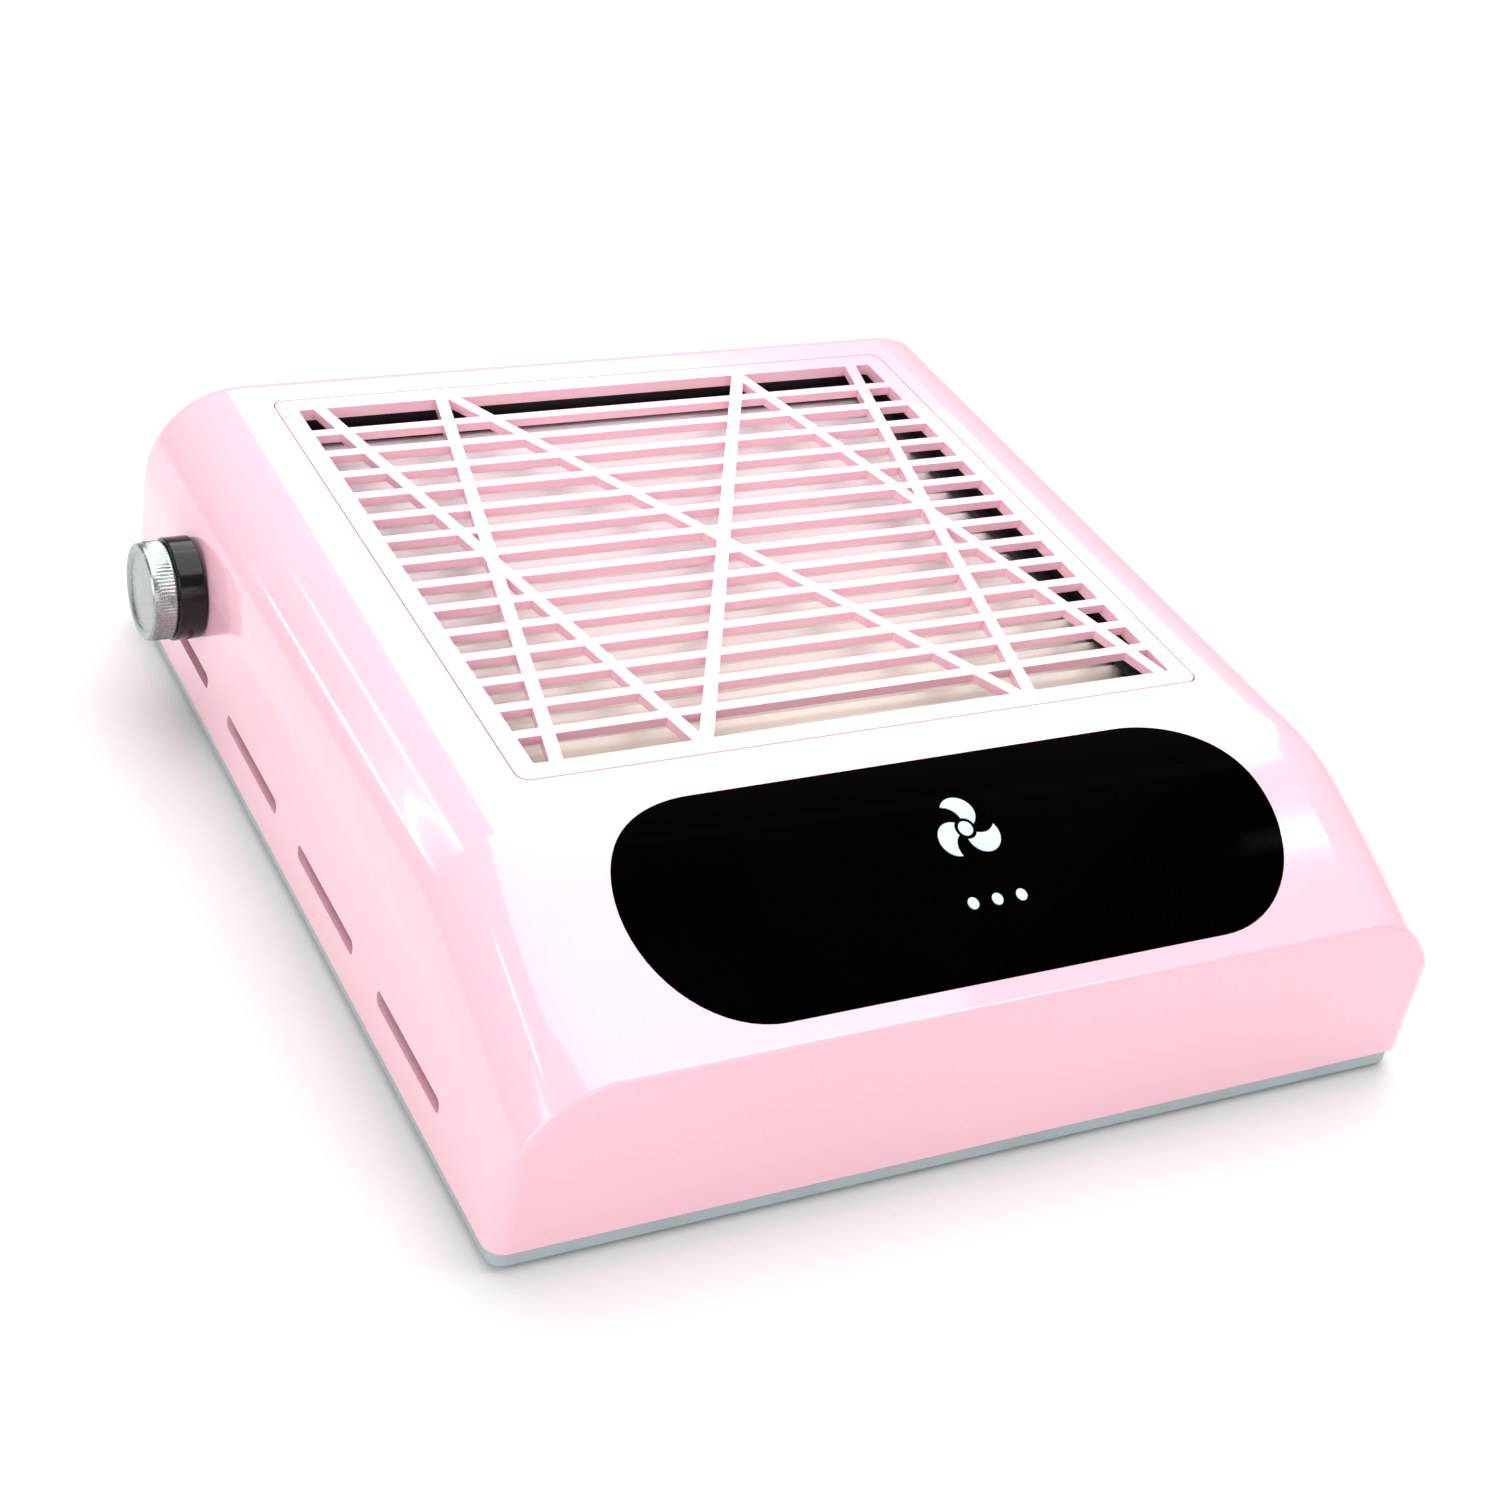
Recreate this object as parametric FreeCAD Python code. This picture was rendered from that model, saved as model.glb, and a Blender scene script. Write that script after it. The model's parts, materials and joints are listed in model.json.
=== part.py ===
import FreeCAD, Part
import math
import os

# Nail dust collector: a low suction box for a manicure table. A fan draws dust through the grille and a
# pleated filter in the top, and blows the air out through slots low in both sides.
# Frame: millimetres, +Z up, +X to the right, +Y to the back. The origin is on the table under the middle of
# the body. The operator's hand comes in from the front, at -Y.

V = FreeCAD.Vector
X_AXIS = V(1, 0, 0)
Z_AXIS = V(0, 0, 1)

# Body
WIDTH = 230.0
DEPTH = 247.4
TOP_Z = 66.0
SHELL_BOTTOM_Z = 6.0
WALL = 2.6
FLAT_END_Y = -66.0
BLEND_RADIUS = 60.0
BLEND_TURN = math.radians(20.0)
FRONT_EDGE_Z = 46.7
SHOULDER_RADIUS = 24.0
BACK_EDGE_RADIUS = 6.0
FRONT_EDGE_RADIUS = 1.2
FRONT_CORNER_RADIUS = 4.5
LEFT_X = -WIDTH / 2
FRONT_Y = -DEPTH / 2
BACK_Y = DEPTH / 2

# Fits: a gap between pieces that part from each other, and one between pieces that stay together
LIFT_GAP = 0.3
FIT_GAP = 0.05
OVERRUN = 1.0

# Grille cover, let flush into the top
PANEL_CENTRE_Y = 29.2
PANEL_HALF_X = 86.25
PANEL_HALF_Y = 80.9
PANEL_THICK = 3.0
PANEL_CORNER = 3.0
PANEL_BORDER = 5.1
PANEL_Z = TOP_Z - PANEL_THICK
OPENING_CORNER = 0.8
BAR_COUNT = 14
BAR_FIRST = 10.5
BAR_PITCH = 9.97
BAR_WIDTH = 2.8
BAR_THICK = 2.2
BAR_Z = TOP_Z - BAR_THICK
BRACE_WIDTH = 3.2
# Each diagonal's ends, at the back and at the front, as shares of the opening's width from the left
BRACES = ((0.033, 0.241), (0.234, 0.031), (0.756, 0.246), (0.25, 0.743), (0.752, 0.986), (0.967, 0.758))

# Well in the shell that the filter cartridge drops into
WELL_INSET = 1.65
WELL_WALL = 2.0
WELL_BOTTOM_Z = 36.0
LEDGE_THICK = 2.3
COLLAR_WALL = 1.6

# Filter cartridge
FRAME_INSET = 2.1
FRAME_WALL = 1.6
FRAME_BOTTOM_Z = 38.0
FRAME_FLANGE_Z = 59.0
FRAME_FLANGE_THICK = 1.5
FRAME_LIP = 4.1
FRAME_RIB_WIDTH = 3.0
FRAME_RIBS = 3
FRAME_CORNER = 2.0
FRAME_HOLE_CORNER = 1.0
SEAL_DEPTH = 1.4
FILTER_SHEET = 0.7
FILTER_PLEATS = 30
FILTER_GAP = 0.5

# Nameplate on the front slope
PLATE_HALF_X = 80.5
PLATE_FRONT_Y = -118.6
PLATE_BACK_Y = -64.9
PLATE_RECESS = 1.2
PLATE_PROUD = 0.2
PLATE_CLEARANCE = 0.15
MARK_THICK = 0.15
MARK_X = 3.0
MARK_Y = -86.0
MARK_RADIUS = 8.0
MARK_HUB_RADIUS = 1.7
MARK_HUB_CLEARANCE = 0.85
MARK_BLADES = 3
DOT_RADIUS = 1.3
DOT_PITCH = 6.0
DOT_Y = -102.5

# Vent slots in both sides
SLOT_COUNT = 4
SLOT_LENGTH = 36.2
SLOT_HEIGHT = 4.0
SLOT_Z = 18.3
SLOT_FIRST_Y = -74.7
SLOT_PITCH = 51.5
SLOT_END_RADIUS = 1.6

# Base plate, feet and the screws that hold the base to the shell
BASE_BOTTOM_Z = 1.4
BASE_INSET = 1.3
BASE_CORNER = 3.5
BASE_FLOOR = 3.2
BASE_FLOOR_Z = BASE_BOTTOM_Z + BASE_FLOOR
BASE_LIP_TOP_Z = 10.0
BASE_LIP_WALL = 1.8
FOOT_RADIUS = 8.0
FOOT_RECESS = 0.8
FOOT_EDGE_RADIUS = 0.6
FOOT_X = 88.0
FOOT_Y = 98.0
CASE_SCREW_X = 103.0
CASE_SCREW_Y = 112.0
CASE_BOSS_RADIUS = 4.2
CASE_BOSS_SPLIT_Z = 7.0
CASE_SCREW_LENGTH = 14.0
COUNTERBORE = 1.9
SCREW_RADIUS = 1.45
HEAD_RADIUS = 2.8
HEAD_THICK = 1.6
DRIVE_RADIUS = 1.0
DRIVE_DEPTH = 0.9

# Fan deck, the floor of the filter well
DECK_BOTTOM_Z = 32.0
DECK_THICK = 2.0
DECK_TOP_Z = DECK_BOTTOM_Z + DECK_THICK
DECK_OVERHANG = 3.8
DECK_CORNER = 5.0
DECK_POST_RADIUS = 4.5
DECK_POST_X = 76.0
DECK_POST_DY = 72.0
DECK_SCREW_LENGTH = 12.0
INLET_RADIUS = 44.0
INLET_LIP = 1.5
INLET_LIP_DROP = 1.4

# Finger guard over the fan inlet
GUARD_RADIUS = 48.0
GUARD_THICK = 1.8
GUARD_RING_WIDTH = 1.6
GUARD_RING_PITCH = 9.0
GUARD_RINGS = 4
GUARD_SPOKES = 6
GUARD_HUB_RADIUS = 7.0

# Fan and its brushless motor, on a vertical axis
FAN_X = 0.0
FAN_Y = 28.0
BRACKET_RADIUS = 34.0
BRACKET_THICK = 2.4
BRACKET_TOP_Z = BASE_FLOOR_Z + BRACKET_THICK
BRACKET_SCREWS = 3
BRACKET_SCREW_CIRCLE = 28.0
BRACKET_SCREW_LENGTH = 4.0
BEARING_TUBE_TOP_Z = 23.2
BEARING_RADIUS = 4.0
BEARING_BORE = 1.55
BEARING_WIDTH = 3.0
RACE_GAP_OUTER = 3.2
RACE_GAP_INNER = 2.4
RACE_GAP_DEPTH = 0.4
BEARING_TUBE_WALL = 1.0
UPPER_BEARING_Z = 20.0
SHAFT_RADIUS = 1.5
SHAFT_BOTTOM_Z = 7.4
SHAFT_TOP_Z = 26.4
STATOR_BOTTOM_Z = 12.0
STATOR_TOP_Z = 20.0
STATOR_YOKE = 8.4
STATOR_TIP_INNER = 14.4
STATOR_TIP_OUTER = 15.6
STATOR_TEETH = 9
TOOTH_WIDTH = 2.6
TIP_WIDTH = 8.0
COIL_WIDTH = 4.8
COIL_INNER = 9.2
COIL_OUTER = 14.2
COIL_OVERHANG = 1.0
COIL_CORNER = 0.6
MAGNET_INNER = 16.1
MAGNET_OUTER = 18.0
MAGNET_BOTTOM_Z = 11.0
MAGNET_TOP_Z = 21.0
CUP_RADIUS = 19.3
CUP_WALL = 1.2
CUP_BOTTOM_Z = 9.8
CUP_TOP_Z = 25.2
HUB_WALL = 1.6
HUB_TOP_Z = 27.4
HUB_EDGE_RADIUS = 1.5
IMPELLER_RADIUS = 60.0
IMPELLER_BOTTOM_Z = 9.2
IMPELLER_DISC = 1.6
IMPELLER_TOP_Z = 30.0
SHROUD_THICK = 1.4
SHROUD_EYE_RADIUS = 46.0
BLADES = 13
BLADE_INNER_RADIUS = 36.0
BLADE_SWEEP = math.radians(46.0)
BLADE_BEND_SHARE = 0.62
BLADE_THICK = 1.3
BLADE_LEAN = 1.4

# Speed knob and potentiometer on the left side
KNOB_Y = 75.9
KNOB_Z = 37.2
KNOB_GAP = 0.5
SKIRT_RADIUS = 12.4
SKIRT_LENGTH = 6.5
CAP_RADIUS = 11.9
CAP_LENGTH = 6.3
CAP_CHAMFER = 0.7
CAP_DISH_RADIUS = 60.0
CAP_DISH_DEPTH = 0.6
SKIRT_EDGE_RADIUS = 0.5
KNOB_HOLLOW_RADIUS = 7.6
KNOB_HOLLOW_DEPTH = 3.4
KNOB_SHAFT_RADIUS = 3.0
KNOB_SHAFT_END = 11.0
POT_PAD_RADIUS = 9.4
POT_FACE_X = LEFT_X + 3.5
POT_RADIUS = 8.2
POT_DEPTH = 9.5
POT_BORE_DEPTH = 7.0
BUSHING_RADIUS = 3.6
BUSHING_PROUD = 2.6
POT_NUT_RADIUS = 6.0
POT_NUT_THICK = 2.0
POT_TAG_COUNT = 3
POT_TAG_PITCH = 5.0
POT_TAG = (1.2, 0.6, 5.0)

# Power inlet in the back wall
JACK_X = -48.0
JACK_Z = 21.0
JACK_THREAD_RADIUS = 5.0
JACK_FLANGE_RADIUS = 6.6
JACK_FLANGE_THICK = 1.6
JACK_SOCKET_RADIUS = 3.2
JACK_SOCKET_DEPTH = 9.5
JACK_PIN_RADIUS = 1.0
JACK_LENGTH = 13.0
JACK_NUT_RADIUS = 7.5
JACK_NUT_THICK = 2.2
JACK_TAG = (3.0, 5.0, 0.5)
JACK_TAG_DZ = 2.5

# Control board on the floor behind the fan
BOARD_X = -40.0
BOARD_Y = 104.5
BOARD_LENGTH = 52.0
BOARD_WIDTH = 24.0
BOARD_THICK = 1.6
BOARD_BOTTOM_Z = 8.6
BOARD_TOP_Z = BOARD_BOTTOM_Z + BOARD_THICK
BOARD_SCREW_DX = 22.5
BOARD_SCREW_DY = 8.5
BOARD_POST_RADIUS = 2.8
BOARD_SCREW_LENGTH = 5.0
BOARD_SCREW_RADIUS = 1.0
BOARD_HEAD_RADIUS = 1.9
CAPACITOR_DX = 19.5
CAPACITOR_RADIUS = 3.2
CAPACITOR_HEIGHT = 11.0
CAPACITOR_EDGE_RADIUS = 0.7
CHOKE_DX = 5.0
CHOKE_DY = 4.0
CHOKE_RADIUS = 3.6
CHOKE_BORE_RADIUS = 1.4
CHOKE_HEIGHT = 3.4
# Places on the board from its middle, as x low, x high, y low, y high, and a height
CHIP = (1.0, 9.0, -6.5, -2.0, 1.4)
REGULATOR = (-20.0, -12.0, -10.5, -4.2, 2.4)
CONNECTORS = 3
CONNECTOR_LEFT_DX = -17.0
CONNECTOR_PITCH = 12.0
CONNECTOR_LENGTH = 7.0
CONNECTOR_DEPTH = 4.5
CONNECTOR_HEIGHT = 3.8
CONNECTOR_FRONT_Y = BOARD_Y + 6.5

# Leads held in the case
LEAD_RADIUS = 1.4
MOTOR_LEAD_RADIUS = 0.7
LEAD_Z = BOARD_TOP_Z + 2.2
ARC_SHARE = 0.45


def box(x_low, x_high, y_low, y_high, z_low, z_high):
    """Block between two corners."""
    return Part.makeBox(x_high - x_low, y_high - y_low, z_high - z_low, V(x_low, y_low, z_low))


def rod(radius, start, end):
    """Round rod between two points."""
    return Part.makeCylinder(radius, (end - start).Length, start, end - start)


def ring(outer, inner, start, end):
    """Round tube between two points."""
    return rod(outer, start, end).cut(rod(inner, start, end))


def upright(radius, x, y, z_low, z_high):
    """Vertical rod."""
    return rod(radius, V(x, y, z_low), V(x, y, z_high))


def upright_ring(outer, inner, x, y, z_low, z_high):
    """Vertical tube."""
    return ring(outer, inner, V(x, y, z_low), V(x, y, z_high))


def rounded_block(half_x, half_y, centre_y, z_low, z_high, corner):
    """Block about the YZ plane with rounded vertical edges."""
    block = box(-half_x, half_x, centre_y - half_y, centre_y + half_y, z_low, z_high)
    upright_edges = [edge for edge in block.Edges if abs(edge.tangentAt(edge.FirstParameter).z) > 0.9]
    return block.makeFillet(corner, upright_edges)


def panel_block(offset, z_low, z_high, corner=PANEL_CORNER):
    """Block with the grille cover's outline, grown by an offset."""
    half_x = PANEL_HALF_X + offset
    return rounded_block(half_x, PANEL_HALF_Y + offset, PANEL_CENTRE_Y, z_low, z_high, corner)


def prism(points, push):
    """Straight-sided solid from a closed outline of points."""
    face = Part.Face(Part.makePolygon(points + [points[0]]))
    return face.extrude(push)


def hexagon(radius, start, end):
    """Six-sided bar along the line between two points, by its corner radius."""
    axis = (end - start).normalize()
    side = Z_AXIS if abs(axis.z) < 0.5 else X_AXIS
    across = axis.cross(side)
    corners = []
    for index in range(6):
        angle = math.radians(60.0 * index)
        corners.append(start + side * (radius * math.cos(angle)) + across * (radius * math.sin(angle)))
    return prism(corners, end - start)


def turned(shape, angle, centre, axis):
    """Copy of a shape turned by degrees about an axis through a point."""
    copy = shape.copy()
    copy.rotate(centre, axis, angle)
    return copy


def around_fan(shape, count):
    """Copies of a shape evenly spaced around the fan's axis."""
    centre = V(FAN_X, FAN_Y, 0)
    return [turned(shape, 360.0 * index / count, centre, Z_AXIS) for index in range(count)]


def corners(half_x, half_y, centre_y=0.0):
    """The four corners of a rectangle about the YZ plane."""
    return [(x, centre_y + y) for x in (-half_x, half_x) for y in (-half_y, half_y)]


def at_knob(x):
    """Point on the knob's axis."""
    return V(x, KNOB_Y, KNOB_Z)


def at_jack(y):
    """Point on the power inlet's axis."""
    return V(JACK_X, y, JACK_Z)


def screw(x, y, seat_z, length, up, radius=SCREW_RADIUS, head=HEAD_RADIUS):
    """Pan-head screw. Its shank runs up or down from the seat, and its head is on the other side."""
    way = 1.0 if up else -1.0
    seat = V(x, y, seat_z)
    shank = rod(radius, seat, seat + Z_AXIS * (way * length))
    cap = rod(head, seat, seat - Z_AXIS * (way * HEAD_THICK))
    cross = hexagon(DRIVE_RADIUS, seat - Z_AXIS * (way * HEAD_THICK), seat - Z_AXIS * (way * DRIVE_DEPTH))
    return shank.fuse(cap).cut(cross).removeSplitter()


def body_profile(inset, bottom_z):
    """Side outline of the body, moved inwards by an inset: flat top, blend arc, then a slack front arc."""
    front = FRONT_Y + inset
    back = BACK_Y - inset
    blend_centre = V(0, FLAT_END_Y, TOP_Z - BLEND_RADIUS)
    normal = V(0, -math.sin(BLEND_TURN), math.cos(BLEND_TURN))
    blend_end = blend_centre + normal * BLEND_RADIUS
    chord = V(0, FRONT_Y, FRONT_EDGE_Z) - blend_end
    slope_radius = chord.Length ** 2 / (-2.0 * chord.dot(normal))
    slope_centre = blend_end - normal * slope_radius

    radius = BLEND_RADIUS - inset
    blend_start = V(0, FLAT_END_Y, TOP_Z - inset)
    blend_middle = blend_centre + V(0, -math.sin(BLEND_TURN / 2), math.cos(BLEND_TURN / 2)) * radius
    slope_start = blend_centre + normal * radius
    reach = slope_radius - inset
    front_angle = math.asin((slope_centre.y - front) / reach)
    middle_angle = (BLEND_TURN + front_angle) / 2
    slope_middle = slope_centre + V(0, -math.sin(middle_angle), math.cos(middle_angle)) * reach
    slope_end = slope_centre + V(0, -math.sin(front_angle), math.cos(front_angle)) * reach

    edges = [
        Part.makeLine(V(0, back, bottom_z), V(0, back, TOP_Z - inset)),
        Part.makeLine(V(0, back, TOP_Z - inset), blend_start),
        Part.Arc(blend_start, blend_middle, slope_start).toShape(),
        Part.Arc(slope_start, slope_middle, slope_end).toShape(),
        Part.makeLine(slope_end, V(0, front, bottom_z)),
        Part.makeLine(V(0, front, bottom_z), V(0, back, bottom_z)),
    ]
    return Part.Face(Part.Wire(edges))


def body_solid(inset, bottom_z):
    """Outside form of the body, moved inwards by an inset (outwards if negative), down to a height."""
    half_width = WIDTH / 2 - inset
    front = FRONT_Y + inset
    back = BACK_Y - inset
    face = body_profile(inset, bottom_z)
    face.translate(V(-half_width, 0, 0))
    solid = face.extrude(V(2 * half_width, 0, 0))

    def on_side(edge):
        middle = edge.valueAt((edge.FirstParameter + edge.LastParameter) / 2)
        along_y = abs(edge.tangentAt(edge.FirstParameter).x) < 0.1
        return along_y and middle.z > FRONT_EDGE_Z - 3 * WALL and front + OVERRUN < middle.y < back - OVERRUN

    solid = solid.makeFillet(SHOULDER_RADIUS - inset, [edge for edge in solid.Edges if on_side(edge)])

    def outline_at(y):
        return [edge for edge in solid.Edges if abs(edge.BoundBox.YMin - y) < 1e-3
                and abs(edge.BoundBox.YMax - y) < 1e-3 and edge.BoundBox.ZMax > bottom_z + 1e-3]

    solid = solid.makeFillet(BACK_EDGE_RADIUS - inset, outline_at(back))
    if inset < FRONT_EDGE_RADIUS:
        solid = solid.makeFillet(FRONT_EDGE_RADIUS - inset, outline_at(front))
    plan = box(-half_width, half_width, front, back + OVERRUN, bottom_z, TOP_Z - inset + OVERRUN)
    front_corners = [edge for edge in plan.Edges if edge.BoundBox.YMax < front + 1e-3
                     and abs(edge.tangentAt(edge.FirstParameter).z) > 0.9]
    return solid.common(plan.makeFillet(FRONT_CORNER_RADIUS - inset, front_corners))


def plate_outline(grow, z_low, z_high):
    """Upright stadium with the nameplate's outline."""
    radius = (PLATE_BACK_Y - PLATE_FRONT_Y) / 2
    middle_y = (PLATE_BACK_Y + PLATE_FRONT_Y) / 2
    straight = PLATE_HALF_X - radius
    reach = radius + grow
    middle = box(-straight, straight, middle_y - reach, middle_y + reach, z_low, z_high)
    ends = [upright(reach, x, middle_y, z_low, z_high) for x in (-straight, straight)]
    return middle.fuse(ends).removeSplitter()


def vent_slots():
    """Cutters for the slots in both sides."""
    cutters = []
    reach = WIDTH / 2 + OVERRUN
    inner = WIDTH / 2 - 2 * WALL
    for index in range(SLOT_COUNT):
        middle_y = SLOT_FIRST_Y + SLOT_PITCH * index
        for x_low, x_high in ((-reach, -inner), (inner, reach)):
            cutter = box(x_low, x_high, middle_y - SLOT_LENGTH / 2, middle_y + SLOT_LENGTH / 2,
                         SLOT_Z - SLOT_HEIGHT / 2, SLOT_Z + SLOT_HEIGHT / 2)
            long_edges = [edge for edge in cutter.Edges if abs(edge.tangentAt(edge.FirstParameter).x) > 0.9]
            cutters.append(cutter.makeFillet(SLOT_END_RADIUS, long_edges))
    return cutters


def upper_shell():
    """Gloss moulding with the filter well, the nameplate recess and the bosses that take the case screws."""
    outer = body_solid(0.0, SHELL_BOTTOM_Z)
    inner = body_solid(WALL, SHELL_BOTTOM_Z - OVERRUN)
    shell = outer.cut(inner)

    well = panel_block(WELL_WALL - WELL_INSET, WELL_BOTTOM_Z, PANEL_Z)
    collar = panel_block(LIFT_GAP + COLLAR_WALL, PANEL_Z - LEDGE_THICK, TOP_Z - WALL / 2)
    roof_pads = []
    for x, y in corners(CASE_SCREW_X, CASE_SCREW_Y):
        column = upright(CASE_BOSS_RADIUS, x, y, CASE_BOSS_SPLIT_Z, TOP_Z)
        roof_pads.append(column.common(body_solid(WALL / 2, SHELL_BOTTOM_Z)))
    knob_pad = rod(POT_PAD_RADIUS, at_knob(LEFT_X + WALL / 2), at_knob(POT_FACE_X))
    shell = shell.fuse([well, collar, knob_pad] + roof_pads)

    cutters = [
        panel_block(-WELL_INSET, WELL_BOTTOM_Z - OVERRUN, TOP_Z + OVERRUN),
        panel_block(LIFT_GAP, PANEL_Z - LIFT_GAP, TOP_Z + OVERRUN),
        plate_recess(),
        rod(BUSHING_RADIUS + FIT_GAP, at_knob(LEFT_X - OVERRUN), at_knob(POT_FACE_X + OVERRUN)),
        rod(JACK_THREAD_RADIUS + FIT_GAP, at_jack(BACK_Y - 2 * WALL), at_jack(BACK_Y + OVERRUN)),
    ]
    for x, y in corners(CASE_SCREW_X, CASE_SCREW_Y):
        hole_top = BASE_BOTTOM_Z + COUNTERBORE + CASE_SCREW_LENGTH + OVERRUN
        cutters.append(upright(SCREW_RADIUS + FIT_GAP, x, y, SHELL_BOTTOM_Z, hole_top))
    return shell.cut(cutters + vent_slots()).removeSplitter()


def plate_recess():
    """Cutter for the pocket that the nameplate is glued into."""
    grown = plate_outline(PLATE_CLEARANCE, FRONT_EDGE_Z - SHOULDER_RADIUS, TOP_Z + OVERRUN)
    return grown.cut(body_solid(PLATE_RECESS, SHELL_BOTTOM_Z))


def nameplate():
    """Black plate that follows the front slope."""
    outline = plate_outline(0.0, FRONT_EDGE_Z - SHOULDER_RADIUS, TOP_Z + OVERRUN)
    below_top = outline.common(body_solid(-PLATE_PROUD, SHELL_BOTTOM_Z))
    return below_top.cut(body_solid(PLATE_RECESS, SHELL_BOTTOM_Z))


def nameplate_mark():
    """Plain printed fan symbol with three dots below it."""
    low = FRONT_EDGE_Z
    high = TOP_Z + OVERRUN
    blade_radius = MARK_RADIUS / 2
    shapes = [upright(MARK_HUB_RADIUS, MARK_X, MARK_Y, low, high)]
    for index in range(MARK_BLADES):
        outer = upright(blade_radius, MARK_X, MARK_Y + blade_radius, low, high)
        bite = upright(blade_radius, MARK_X - blade_radius, MARK_Y + blade_radius / 2, low, high)
        clear = upright(MARK_HUB_RADIUS + MARK_HUB_CLEARANCE, MARK_X, MARK_Y, low, high)
        blade = outer.cut([bite, clear])
        shapes.append(turned(blade, 360.0 * index / MARK_BLADES, V(MARK_X, MARK_Y, 0), Z_AXIS))
    for index in (-1, 0, 1):
        shapes.append(upright(DOT_RADIUS, MARK_X + DOT_PITCH * index, DOT_Y, low, high))
    skin = body_solid(-PLATE_PROUD - MARK_THICK, SHELL_BOTTOM_Z).cut(body_solid(-PLATE_PROUD, SHELL_BOTTOM_Z))
    return Part.makeCompound([shape.common(skin) for shape in shapes])


def base_plate():
    """Grey tray that closes the case, with the posts for the deck, the board and the case screws."""
    half_x = WIDTH / 2 - BASE_INSET
    half_y = DEPTH / 2 - BASE_INSET
    lip_inset = WALL + LIFT_GAP
    lip_x = WIDTH / 2 - lip_inset
    lip_y = DEPTH / 2 - lip_inset
    plate = rounded_block(half_x, half_y, 0.0, BASE_BOTTOM_Z, SHELL_BOTTOM_Z, BASE_CORNER)
    lip = rounded_block(lip_x, lip_y, 0.0, SHELL_BOTTOM_Z, BASE_LIP_TOP_Z, BASE_CORNER)
    hollow = rounded_block(lip_x - BASE_LIP_WALL, lip_y - BASE_LIP_WALL, 0.0, BASE_FLOOR_Z,
                           BASE_LIP_TOP_Z + OVERRUN, BASE_CORNER - BASE_LIP_WALL)
    tray = plate.fuse(lip).cut(hollow)

    posts = []
    cutters = []
    for x, y in corners(CASE_SCREW_X, CASE_SCREW_Y):
        posts.append(upright(CASE_BOSS_RADIUS + OVERRUN, x, y, BASE_BOTTOM_Z, CASE_BOSS_SPLIT_Z))
        cutters.append(upright(HEAD_RADIUS + LIFT_GAP, x, y, 0, BASE_BOTTOM_Z + COUNTERBORE))
        cutters.append(upright(SCREW_RADIUS + FIT_GAP, x, y, 0, CASE_BOSS_SPLIT_Z + OVERRUN))
    for x, y in corners(DECK_POST_X, DECK_POST_DY, PANEL_CENTRE_Y):
        posts.append(upright(DECK_POST_RADIUS, x, y, BASE_FLOOR_Z, DECK_BOTTOM_Z))
        hole_bottom = DECK_TOP_Z - DECK_SCREW_LENGTH - OVERRUN
        cutters.append(upright(SCREW_RADIUS + FIT_GAP, x, y, hole_bottom, DECK_TOP_Z))
    for x, y in board_points():
        posts.append(upright(BOARD_POST_RADIUS, x, y, BASE_FLOOR_Z, BOARD_BOTTOM_Z))
        cutters.append(upright(BOARD_SCREW_RADIUS + FIT_GAP, x, y, BASE_FLOOR_Z, BOARD_TOP_Z))
    for x, y in corners(FOOT_X, FOOT_Y):
        cutters.append(upright(FOOT_RADIUS + FIT_GAP, x, y, 0, BASE_BOTTOM_Z + FOOT_RECESS))
    for x, y in bracket_screw_points():
        hole_bottom = BRACKET_TOP_Z - BRACKET_SCREW_LENGTH
        cutters.append(upright(SCREW_RADIUS + FIT_GAP, x, y, hole_bottom, BRACKET_TOP_Z))
    return tray.fuse(posts).cut(cutters).removeSplitter()


def board_points():
    """Where the board's four screws stand."""
    return [(BOARD_X + dx, BOARD_Y + dy) for dx in (-BOARD_SCREW_DX, BOARD_SCREW_DX)
            for dy in (-BOARD_SCREW_DY, BOARD_SCREW_DY)]


def bracket_screw_points():
    """Where the motor bracket's screws stand."""
    points = []
    for index in range(BRACKET_SCREWS):
        angle = 2 * math.pi * index / BRACKET_SCREWS + math.pi / 6
        points.append((FAN_X + BRACKET_SCREW_CIRCLE * math.cos(angle),
                       FAN_Y + BRACKET_SCREW_CIRCLE * math.sin(angle)))
    return points


def rubber_feet():
    """Four round feet with a soft lower edge."""
    feet = []
    for x, y in corners(FOOT_X, FOOT_Y):
        foot = upright(FOOT_RADIUS, x, y, 0, BASE_BOTTOM_Z + FOOT_RECESS)
        lower = [edge for edge in foot.Edges if edge.BoundBox.ZMax < 1e-3]
        feet.append(foot.makeFillet(FOOT_EDGE_RADIUS, lower))
    return Part.makeCompound(feet)


def base_screws():
    """Four screws that hold the base to the shell."""
    seat = BASE_BOTTOM_Z + COUNTERBORE
    return Part.makeCompound([screw(x, y, seat, CASE_SCREW_LENGTH, True)
                              for x, y in corners(CASE_SCREW_X, CASE_SCREW_Y)])


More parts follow.
